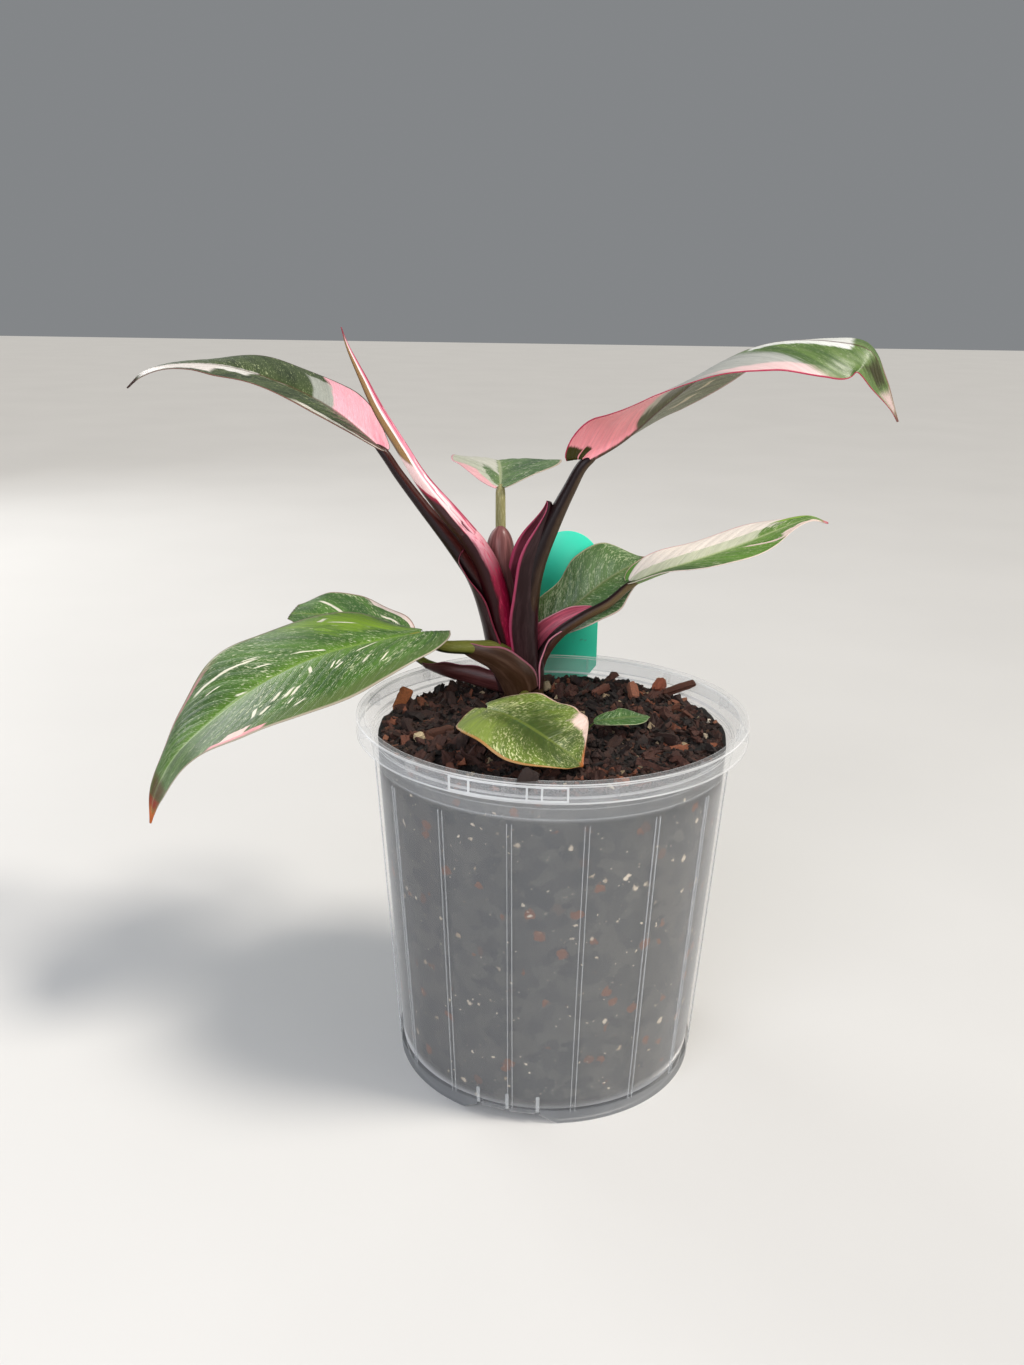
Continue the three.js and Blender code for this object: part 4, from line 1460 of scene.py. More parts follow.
@dataclass
class Pot:
    """The growers' pot: one thin moulding with a rolled skirt at its rim, ribs, a foot and drain slots.

    Lengths are in millimetres. Angles are in degrees, round from the front towards +X, and a crease is the
    angle from which an edge is sharp.
    """

    height: float = 134.0
    rim_radius: float = 70.0
    rim_inner: float = 66.2
    skirt_depth: float = 6.6
    wall_top: float = 64.0
    foot_radius: float = 55.5
    wall: float = 0.9
    foot_height: float = 4.0
    floor: float = 1.4
    foot_ring: float = 2.0
    gate_radius: float = 9.0
    lip: float = 0.8
    flange: float = 1.0
    steps: Pair = (118.0, 121.0)
    step: float = 0.4
    beads: tuple[float, ...] = (119.6, 123.6, 125.2)
    bead: float = 0.16
    ribs: int = 16
    rib_start: float = -13.5
    rib_size: Point = (0.24, 0.5, 112.0)
    rib_apart: float = 0.8
    rib_middle: float = 61.0
    webs: int = 12
    web_start: float = 15.8
    web_size: Point = (0.6, 4.0, 4.4)
    web_in: float = 2.6
    web_down: float = 3.2
    notches: int = 3
    notch_start: float = -14.6
    notch_top: float = 11.0
    notch_foot: float = 18.1
    notch_short: float = 0.2
    drain_spread: float = 11.0
    drain_size: Point = (1.6, 4.0, 3.0)
    tick_size: Point = (1.3, 0.5, 6.5)
    tick_middle: float = 8.0
    tag_turn: float = 6.0
    tag_radius: float = 67.55
    tag_slot: Point = (26.6, 1.2, 13.2)
    window: tuple[float, ...] = (-28.8, -23.2, -7.8, -4.0, 2.5)
    window_heights: Pair = (128.4, 133.0)
    window_bar: float = 0.35
    window_proud: float = 0.25
    round_off: float = 0.32
    crease: float = 38.0
    frame_crease: float = 30.0
    sides: int = 192

    def radius_at(self, z: float) -> float:
        """Gives the wall's outer radius at a height."""
        return self.foot_radius + (self.wall_top - self.foot_radius) * z / (self.height - self.skirt_depth)

    def build(self) -> None:
        """Builds the moulding, its ribs, webs, foot ticks and raised frames, and dresses them as the pot."""
        # The edge finish is whiter and denser than the rim: painted highlight where light catches the
        # corners.
        looks = {
            "wall": ("#c4c7ca", 0.06, 0.3), "rim": ("#dfe2e4", 0.13, 0.2), "edge": ("#f4f6f7", 0.5, 0.16),
            # The foot finish is darker and denser: painted shade from under the pot, with crumbs caught in
            # the foot.
            "rib": ("#dfe3e5", 0.3, 0.2), "foot": ("#8c8f92", 0.55, 0.3),
        }
        made = [ClearPlastic("clear_polypropylene_" + at, *look).material() for at, look in looks.items()]
        _, rim, edge, line, _ = made
        dress(self.body(made), "clear_polypropylene", "pot")
        lean = math.atan((self.wall_top - self.foot_radius) / (self.height - self.skirt_depth))
        rib = box_points(0, self.radius_at(self.rib_middle), self.rib_middle, self.rib_size, lean)
        web = box_points(0, self.rim_radius - self.web_in, self.height - self.web_down, self.web_size)
        # A name, corners, a bevel, how many go round, where the first stands, and the finish.
        rings = [
            ("pot_ribs_left", rib - (self.rib_apart, 0, 0), 0.08, self.ribs, self.rib_start, line),
            ("pot_ribs_right", rib + (self.rib_apart, 0, 0), 0.08, self.ribs, self.rib_start, line),
            ("pot_rim_webs", web, 0.1, self.webs, self.web_start, rim),
        ]
        for name, side in (("left", -1), ("middle", 0), ("right", 1)):
            angle = side * self.drain_spread
            tick = box_points(angle, self.foot_radius + 0.5, self.tick_middle, self.tick_size, lean)
            rings.append(("pot_foot_ticks_" + name, tick, 0.12, self.notches, self.notch_start, line))
        tree = ring_tree()
        for name, corners, bevel, count, start, finish in rings:
            values = {"Count": count, "Start": math.radians(start), "Finish": finish}
            dress(grow(box(name, corners, bevel), tree, values), "clear_polypropylene", "pot")
        dress(self.frames(edge), "clear_polypropylene", "pot")

    def body(self, finishes: Sequence[Material]) -> Object:
        """Turns the wall, cuts the drain slots and the tag's slot, and lifts the foot over its notches.

        Args:
            finishes: Thin wall, rim, edges with painted highlight, fine beads, foot with painted shade and
                crumbs.

        Returns:
            The object.
        """
        floor_top = self.foot_height + self.floor
        skirt_foot = self.height - self.skirt_depth
        first, second = self.steps
        ring = self.foot_radius - self.foot_ring
        skirt = self.rim_radius - self.window_proud
        shelf = [(self.radius_at(second) + 2 * self.step, second + 2 * self.step)]
        for z in self.beads:
            edge = self.radius_at(z) + (1 if z < second else 2) * self.step
            ridge = [(edge, z - self.bead), (edge + self.bead, z), (edge, z + self.bead)]
            shelf.extend(ridge)
        shelf.sort(key=lambda point: point[1])
        # From the middle of the underside outwards, up the outside, over the rim and down the inside.
        outline = [
            (0, 0), (self.gate_radius, 0), (self.gate_radius + 0.5, self.foot_height),
            (ring - 0.4, self.foot_height), (ring, 0), (self.foot_radius, 0),
            *[(self.radius_at(z), z) for z in (floor_top, 30, 60, 90)],
            (self.radius_at(first), first), (self.radius_at(first) + self.step, first + 2 * self.step),
            *[point for point in shelf if point[1] < second],
            (self.radius_at(second) + self.step, second),
            *[point for point in shelf if point[1] > second],
            (self.wall_top + 2 * self.step, skirt_foot), (self.rim_inner + 0.7, self.height - self.flange),
            (skirt - self.lip, self.height - self.flange), (skirt - self.lip, skirt_foot),
            (skirt, skirt_foot), (skirt, self.height), (self.rim_inner, self.height),
            (self.wall_top - 0.1, skirt_foot), (self.radius_at(first) - self.wall, first),
            (self.radius_at(60) - self.wall, 60), (self.radius_at(floor_top) - self.wall, floor_top),
            (0, floor_top),
        ]
        softened, corners = soften(outline, self.round_off)
        rings = lathe_points(softened, self.sides)
        angle = np.degrees(np.linspace(0, 2 * np.pi, self.sides, endpoint=False))
        for i in range(self.notches):
            middle = self.notch_start + 360 / self.notches * i
            off = np.abs((angle - middle + 180) % 360 - 180)
            rise = np.clip((self.notch_foot - off) / (self.notch_foot - self.notch_top), 0, 1)
            lift = rise * (self.foot_height - self.notch_short)
            outer = np.hypot(rings[..., 0], rings[..., 1]) > ring - 1
            low = outer & (rings[..., 2] < self.foot_height)
            rings[..., 2] = np.where(low, np.maximum(rings[..., 2], lift[None, :]), rings[..., 2])
        slots = []
        for corner, (radius, z) in zip(corners, softened):
            on_bead = any(abs(z - bead) < 1.5 * self.bead for bead in self.beads)
            beaded = on_bead and radius > self.radius_at(z)
            # Rounded corners at the foot and the rim take the edge finish, a painted highlight.
            outer = corner and (z < 1 or z > skirt_foot - 0.5)
            # The foot below the floor takes the darker finish: painted shade from under the pot, and crumbs.
            shaded = z < floor_top and radius > ring - 1
            slots.append(2 if outer else 3 if beaded else 4 if shaded else int(z > first + 0.4))
        piece = lathe("pot_body", rings, finishes, slots)
        slit = box_points(180 - self.tag_turn, self.tag_radius, self.height, self.tag_slot)
        cutters = [box("tag_slot", slit)]
        for i in range(self.notches):
            middle = self.notch_start + 360 / self.notches * i
            for side in (-self.drain_spread, 0, self.drain_spread):
                drain = box_points(middle + side, self.foot_radius - 0.5, floor_top - 0.5, self.drain_size)
                cutters.append(box("drain_slot", drain, 0.5))
        for cutter in cutters:
            cut = piece.modifiers.new("cut", "BOOLEAN")
            cut.object = cutter
            cut.solver = "EXACT"
        piece = settle(piece)
        for cutter in cutters:
            bpy.data.objects.remove(cutter)
        piece.data.set_sharp_from_angle(angle=math.radians(self.crease))
        return piece

    def frames(self, finish: Material) -> Object:
        """Makes the raised frames on the skirt, left bare inside.

        Args:
            finish: The finish of the rim's edges, whiter as painted highlight.

        Returns:
            The object.
        """
        low, high = self.window_heights
        bar = self.window_bar
        wide = math.degrees(bar / self.rim_radius)
        spans = [(self.window[0] - wide, self.window[-1] + wide, z - bar, z + bar) for z in (low, high)]
        spans += [(at - wide, at + wide, low, high) for at in self.window]
        outer = self.rim_radius
        inner, round_off = outer - self.window_proud - 0.1, 0.1
        points: list[Array] = []
        faces: Faces = []
        for start, end, foot, top in spans:
            section = [
                (inner, foot), (outer - round_off, foot), (outer, foot + round_off),
                (outer, top - round_off), (outer - round_off, top), (inner, top),
            ]
            turns = np.radians(np.linspace(start, end, max(2, int((end - start) / 1.5) + 1)))
            faces += tube_faces(len(turns), len(section), len(points))
            for turn in turns:
                points.extend(np.array([r * math.sin(turn), -r * math.cos(turn), z]) for r, z in section)
        piece = make_mesh("pot_rim_frames", np.array(points), faces, [finish])
        piece.data.set_sharp_from_angle(angle=math.radians(self.frame_crease))
        return piece


# ---- potting mix


@dataclass(frozen=True)
class BarkFinish:
    """Damp bark and peat: dull dark brown fibre, with chips from reddish brown to orange tan.

    Args:
        name: The finish's name.
        dark: The darkest bits.
        middle: The usual colour.
        pale: The palest bits.
        pale_share: How many bits are pale, from 0 to 1.
    """

    name: str
    dark: str
    middle: str
    pale: str
    pale_share: float

    def material(self) -> Material:
        """Makes the finish from each bit's own tint and a fibrous grain, without any glint.

        Returns:
            The material.
        """
        skin = Skin(self.name, self.dark)
        (usual, odd, _), _ = skin.measures("tint")
        where = skin.add("TexCoord").outputs["Object"]
        # The fibres are drawn at 0.6 mm, much coarser than real ones, which wouldn't show.
        grain = skin.add("TexNoise", {"Vector": where, "Scale": 1600.0, "Detail": 4.0, "Roughness": 0.7})
        broad = skin.add("TexNoise", {"Vector": where, "Scale": 300.0, "Detail": 2.0})
        skin.lay(self.middle, share=usual)
        skin.lay(self.pale, (odd, 1 - self.pale_share, 1.001))
        skin.lay(skin.cover((grain, 0.2, 0.8)), share=0.55, blend="MULTIPLY")
        skin.lay(self.middle, (broad, 0.55, 0.75), share=0.3)
        return skin.finish(grain, (0.6, 0.95), grain, (0.8, 0.4))


@dataclass
class PottingMix:
    """Peat with bark chips and bits of perlite, filling the pot to about 9 mm below its rim.

    Lengths are in millimetres, spreads in square millimetres, and crease is the angle in degrees from
    which an edge of a larger piece is sharp. The mound lies at the back right, the dish round the stem and
    the bank along the wall.
    """

    pot: Pot
    level: float = 125.6
    mound: float = 1.6
    mound_at: Pair = (25.0, 30.0)
    mound_spread: float = 900.0
    dish: float = 1.5
    dish_spread: float = 160.0
    bank_from: float = 54.0
    bank_width: float = 8.0
    bottom: float = 5.7
    clearance: float = 0.3
    stem: Pair = (-8.0, 38.0)
    sides: int = 160
    rings: int = 60
    edge_from: float = 56.5
    crease: float = 28.0
    # The larger pieces on top: the middle, the size, the lean and turn in degrees, and the colour.
    pieces: tuple[tuple[Point, Point, float, float, str], ...] = (
        ((-55.5, 21, 129.2), (11, 5.5, 2.4), 66, 14, "#b0683a"),
        ((43, 39, 129.8), (7.5, 5.5, 4.6), 20, 60, "#87452c"),
        ((50, 33.5, 131.4), (14, 3.6, 2.6), 24, -12, "#5e3524"),
        ((32, 33, 129.6), (7.5, 5, 4), 35, 100, "#9a6048"),
        ((20, 36, 129.2), (9, 3, 3), 12, 40, "#7a4a3a"),
        ((-28, 12, 127.6), (12, 4.5, 3), 8, -30, "#4a2a20"),
        ((8, -30, 127), (10, 4, 3), 10, 50, "#33201a"),
        ((40, -12, 127.2), (11, 5, 3), 12, -50, "#3c241c"),
        ((-40, -8, 127), (11, 4, 3), 9, 20, "#55301f"),
        ((-1.5, 40.5, 129), (4.6, 4, 3.4), 20, 0, "#c9b491"),
        ((-46.5, -14, 127.6), (3.8, 3.4, 3), 10, 30, "#d6c39c"),
        ((44, 44.5, 130.2), (3.6, 3.2, 3), 0, 0, "#d2c3a4"),
        ((-9.5, -66.4, 134.2), (7.4, 6, 2.2), 62, 8, "#2e1c15"),
    )

    def height(self, x: Array, y: Array) -> Array:
        """Gives the surface's height: a mound, low waves, a dish round the stem and an uneven bank.

        Args:
            x: Places to the right, in millimetres.
            y: Places to the back.

        Returns:
            The heights in millimetres.
        """
        (right, back), (stem_x, stem_y) = self.mound_at, self.stem
        mound = self.mound * np.exp(-((x - right) ** 2 + (y - back) ** 2) / self.mound_spread)
        rough = 0.5 * np.sin(0.31 * x + 1.3) * np.cos(0.27 * y) + 0.3 * np.sin(0.7 * x - 0.6 * y)
        dish = self.dish * np.exp(-((x - stem_x) ** 2 + (y - stem_y) ** 2) / self.dish_spread)
        turn = np.arctan2(y, x)
        near_wall = np.clip((np.hypot(x, y) - self.bank_from) / self.bank_width, 0, 1)
        bank = near_wall * (0.7 * np.sin(7 * turn) + 0.5 * np.sin(19 * turn + 1))
        return self.level + mound + rough + bank - dish

    def radius_at(self, z: float) -> float:
        """Gives the mix's radius inside the wall at a height."""
        return self.pot.radius_at(z) - self.pot.wall - self.clearance

    def build(self) -> None:
        """Builds the filling and strews bark, crumbs and perlite over it."""
        # The peat's near-black ground is its own damp dark brown, darkened further as painted shade in the
        # gaps.
        fibre = BarkFinish("damp_peat_and_gap_shade", "#0b0807", "#1b120e", "#3a2a20", 0.25).material()
        body = self.body([fibre, self.side_finish()])
        strewn = scatter_tree()
        # A size in mm, the bits in a square metre, a seed, the smallest and largest scale, cuts, how far the
        # surface is pushed about and how far the bits stay from the edge in mm, and the finish.
        kinds = {
            "bark_chips": (
                (8.6, 3.4, 1.7), 30000.0, 3, (0.3, 1.25), 5, 4.5, 3.8,
                BarkFinish("bark_chips", "#1c100c", "#583226", "#9a5a3c", 0.16),
            ),
            "bark_shreds": (
                (6.0, 1.3, 1.0), 42000.0, 13, (0.5, 1.3), 4, 3.5, 3.8,
                BarkFinish("bark_shreds", "#160d0a", "#45271c", "#8a5038", 0.14),
            ),
            "bark_crumbs": (
                (2.8, 1.8, 1.3), 80000.0, 7, (0.4, 1.2), 3, 3.0, 1.9,
                BarkFinish("bark_crumbs", "#150c09", "#432519", "#84533a", 0.1),
            ),
            "edge_crumbs": (
                (2.6, 1.9, 1.3), 170000.0, 29, (0.4, 1.1), 3, 2.4, 1.8,
                BarkFinish("edge_crumbs", "#1c110c", "#4a2b1f", "#8d5a40", 0.14),
            ),
            "peat_crumbs": (
                (1.4, 1.3, 1.0), 260000.0, 11, (0.4, 1.2), 2, 1.6, 1.5,
                BarkFinish("peat_crumbs", "#0c0807", "#2a1b13", "#6a4c36", 0.1),
            ),
            "perlite_bits": (
                (2.2, 2.0, 1.8), 6000.0, 23, (0.3, 1.2), 3, 2.4, 3.0,
                BarkFinish("perlite_bits", "#a58f70", "#c2ae8c", "#e8ddc8", 0.4),
            ),
        }
        for name, (size, density, seed, (small, large), cuts, rough, margin, finish) in kinds.items():
            values = {
                "Density": density, "Seed": seed, "Bit size": [side * MM for side in size], "Smallest": small,
                "Largest": large, "Cuts": cuts, "Rough": rough * MM, "Finish": finish.material(),
            }
            inner = self.edge_from if name == "edge_crumbs" else 0.0
            dress(grow(self.top_sheet(name, inner, margin), strewn, values), "bark_mix", "potting_mix")
        dress(body, "bark_mix", "potting_mix")
        for number, (centre, size, lean, turn, colour) in enumerate(self.pieces, 1):
            dress(self.lump(number, centre, size, (lean, turn), colour), "bark_mix", "potting_mix")

    def lump(
        self, number: int, centre: Point, size: Point, angles: Pair, colour: str
    ) -> Object:
        """Makes one broken piece of bark, grooved along its fibres.

        Args:
            number: Its number, which also shapes its grooves.
            centre: Its middle.
            size: Its length, width and thickness.
            angles: How far its long end is raised, and its turn round the vertical, in degrees.
            colour: Its sRGB colour.

        Returns:
            The object.
        """
        rise = np.radians(np.linspace(-90, 90, 12))
        outline = np.stack([np.cos(rise) ** 0.35, np.sign(rise) * np.abs(np.sin(rise)) ** 0.8], -1)
        outline[[0, -1], 0] = 0.0
        rings = lathe_points(outline, 16)
        wide = rings[..., :2]
        rings[..., :2] = np.sign(wide) * np.abs(wide) ** 0.6
        draw = np.random.default_rng(number)
        groove = 0.11 * draw.standard_normal((1, 16, 1)) + 0.06 * draw.standard_normal((12, 16, 1))
        ends = 0.1 * draw.standard_normal((1, 16, 1)) * np.abs(rings[..., 2:]) ** 3
        rough = np.clip(np.concatenate([groove, groove, ends], -1), -0.2, 0.2)
        rough[[0, -1]] = 0.0
        solid = rings * (1 + rough) * (np.array(size)[[1, 2, 0]] / 2.2)
        upright = Matrix.Rotation(math.radians(90 - angles[0]), 3, "Y")
        turned = np.array(Matrix.Rotation(math.radians(angles[1]), 3, "Z") @ upright)
        name = f"bark_piece_{number}"
        finish = BarkFinish(name, colour, colour, colour, 0.5).material()
        piece = lathe(name, solid @ turned.T + centre, [finish])
        piece.data.set_sharp_from_angle(angle=math.radians(self.crease))
        return piece

    def body(self, finishes: Sequence[Material]) -> Object:
        """Makes the filling: an uneven top, the wall behind the clear plastic and a flat bottom.

        Args:
            finishes: The finish of the top and that of the side.

        Returns:
            The object.
        """
        first = self.pot.steps[0]
        edge = self.radius_at(first)
        tops = [(edge * (i / self.rings), 0.0) for i in range(self.rings + 1)]
        walls = [(self.radius_at(z), z) for z in np.linspace(112, self.bottom, 24)]
        outline = [(0, self.bottom), *reversed(walls), *reversed(tops)]
        rings = lathe_points(outline, self.sides)
        start = len(walls) + 1
        x, y = rings[start:, :, 0], rings[start:, :, 1]
        rings[start:, :, 2] = self.height(x, y)
        slots = [1] * (len(walls) + 1) + [0] * len(tops)
        return lathe("peat_filling", rings, finishes, slots)

    def top_sheet(self, name: str, inner: float, margin: float) -> Object:
        """Makes the bare upper surface that bits are strewn on.

        Args:
            name: The name of the bits.
            inner: The radius at which it starts.
            margin: How far it stays from the edge of the filling.

        Returns:
            The object.
        """
        edge = self.radius_at(self.pot.steps[0]) - margin
        rings = lathe_points([(radius, 0.0) for radius in np.linspace(inner, edge, 25)], 64)
        rings[..., 2] = self.height(rings[..., 0], rings[..., 1]) + 0.3
        return lathe(name, rings[::-1], [])

    def side_finish(self) -> Material:
        """Makes the mix pressed against the milky wall: greyed fibre with tan and pale flecks of 1 to 5 mm.

        Returns:
            The material.
        """
        skin = Skin("pressed_peat_and_bark", "#515253")
        add, lay = skin.add, skin.lay
        where = add("TexCoord").outputs["Object"]
        warp = add("TexNoise", {"Vector": where, "Scale": 420.0, "Detail": 3.0})
        pushed = {0: warp.outputs["Color"], 1: (0.0035, 0.0035, 0.0035), 2: where}
        bent = add("VectorMath", pushed, operation="MULTIPLY_ADD")
        cells = add("TexVoronoi", {"Vector": bent, "Scale": 210.0})
        parts = add("SeparateColor", {0: cells.outputs["Color"]}).outputs
        lay("#62615f", share=parts[0])
        lay("#7b5a4c", (parts[1], 0.88, 0.92), (cells.outputs["Distance"], 0.5, 0.3))
        for scale, share, width in ((235.0, 0.95, 0.36), (380.0, 0.955, 0.34), (800.0, 0.93, 0.3)):
            bits = add("TexVoronoi", {"Vector": bent, "Scale": scale})
            pick = add("SeparateColor", {0: bits.outputs["Color"]}).outputs
            bit = ((pick[2], share, share + 0.005), (bits.outputs["Distance"], width, width - 0.24))
            lay("#9c8c78", *bit)
            lay("#ddd2bf", *bit, share=pick[0])
        fine = add("TexNoise", {"Vector": where, "Scale": 1500.0, "Detail": 3.0, "Roughness": 0.7})
        lay(skin.cover((fine, 0.2, 0.75)), share=0.2, blend="MULTIPLY")
        # Seen through milky plastic, the mix looks whiter towards the sides of the pot; a sheen gives that.
        own = {"Sheen Weight": 0.8, "Sheen Roughness": 0.35}
        return skin.finish(fine, (0.76, 0.84), fine, (0.08, 0.2), own)


# ---- plant tag


@dataclass
class Tag:
    """The plant tag: a bare plastic sheet with a round head, a waist and a pointed tongue.

    Lengths are in millimetres. It stands at a radius behind the pot's axis, and tongue is half a width.
    """

    width: float = 26.0
    thick: float = 0.6
    top: float = 185.3
    foot: float = 104.0
    tongue: float = 7.0
    radius: float = 67.55
    turn: float = 6.0
    rim: float = 134.0
    soft: float = 0.12
    crease: float = 50.0

    def build(self) -> None:
        """Builds the sheet with softened edges and dresses it in the tag's place."""
        half = self.width / 2
        right = [
            (0, self.foot), (self.tongue, self.foot + 10), (self.tongue, self.rim - 12), (half, self.rim - 4),
            *[(half, z) for z in np.linspace(self.rim, self.top - half - 4, 6)],
        ]
        arc = np.radians(np.linspace(0, 180, 41))
        head = [(half * math.cos(a), self.top - half + half * math.sin(a)) for a in arc]
        left = [(-x, z) for x, z in reversed(right[1:])]
        outline = np.array([*right, *head, *left], float)
        before, after = np.roll(outline, 1, 0), np.roll(outline, -1, 0)
        ahead = unit(after - before)
        inward = np.stack([-ahead[:, 1], ahead[:, 0]], -1)
        straight = 0.5 - self.soft / self.thick
        rings = [(self.soft, -0.5), (0, -straight), (0, straight), (self.soft, 0.5)]
        points: list[Array] = []
        for inset, level in rings:
            flat = outline + inward * inset
            y = np.full(len(flat), self.radius + level * self.thick)
            points.extend(np.stack([flat[:, 0], y, flat[:, 1]], -1))
        turned = np.array(points) @ np.array(Matrix.Rotation(-math.radians(self.turn), 3, "Z").transposed())
        faces = tube_faces(len(rings), len(outline))
        piece = make_mesh("tag_sheet", turned, faces, [self.material()])
        piece.data.set_sharp_from_angle(angle=math.radians(self.crease))
        dress(piece, "tag_plastic", "plant_tag")

    def material(self) -> Material:
        """Makes the satin sheet of dyed polypropylene, with painted light and shade, and specks of dust at
        its foot.

        Returns:
            The material.
        """
        skin = Skin("satin_teal_polypropylene", "#2fc4a0")
        where = skin.add("TexCoord").outputs["Object"]
        up = skin.add("SeparateXYZ", {0: where}).outputs[2]
        broad = skin.add("TexNoise", {"Vector": where, "Scale": 45.0, "Detail": 3.0})
        # Painted light: the teal is brighter from about 125 to 200 mm up, for light through the thin sheet.
        shift = skin.add("Math", {0: broad, 1: 0.02, 2: up}, operation="MULTIPLY_ADD")
        skin.lay("#3ff7cf", (shift, 0.125, 0.2))
        # The specks are drawn at about 1.4 mm, since finer dust wouldn't show.
        dust = skin.add("TexNoise", {"Vector": where, "Scale": 700.0, "Detail": 3.0, "Roughness": 0.7})
        skin.lay("#5b5446", (dust, 0.62, 0.72), (up, 0.17, 0.13), share=0.5)
        return skin.finish(dust, (0.32, 0.5), dust, (0.15, 0.1), {"IOR": 1.49})


# ---- the plant's own values


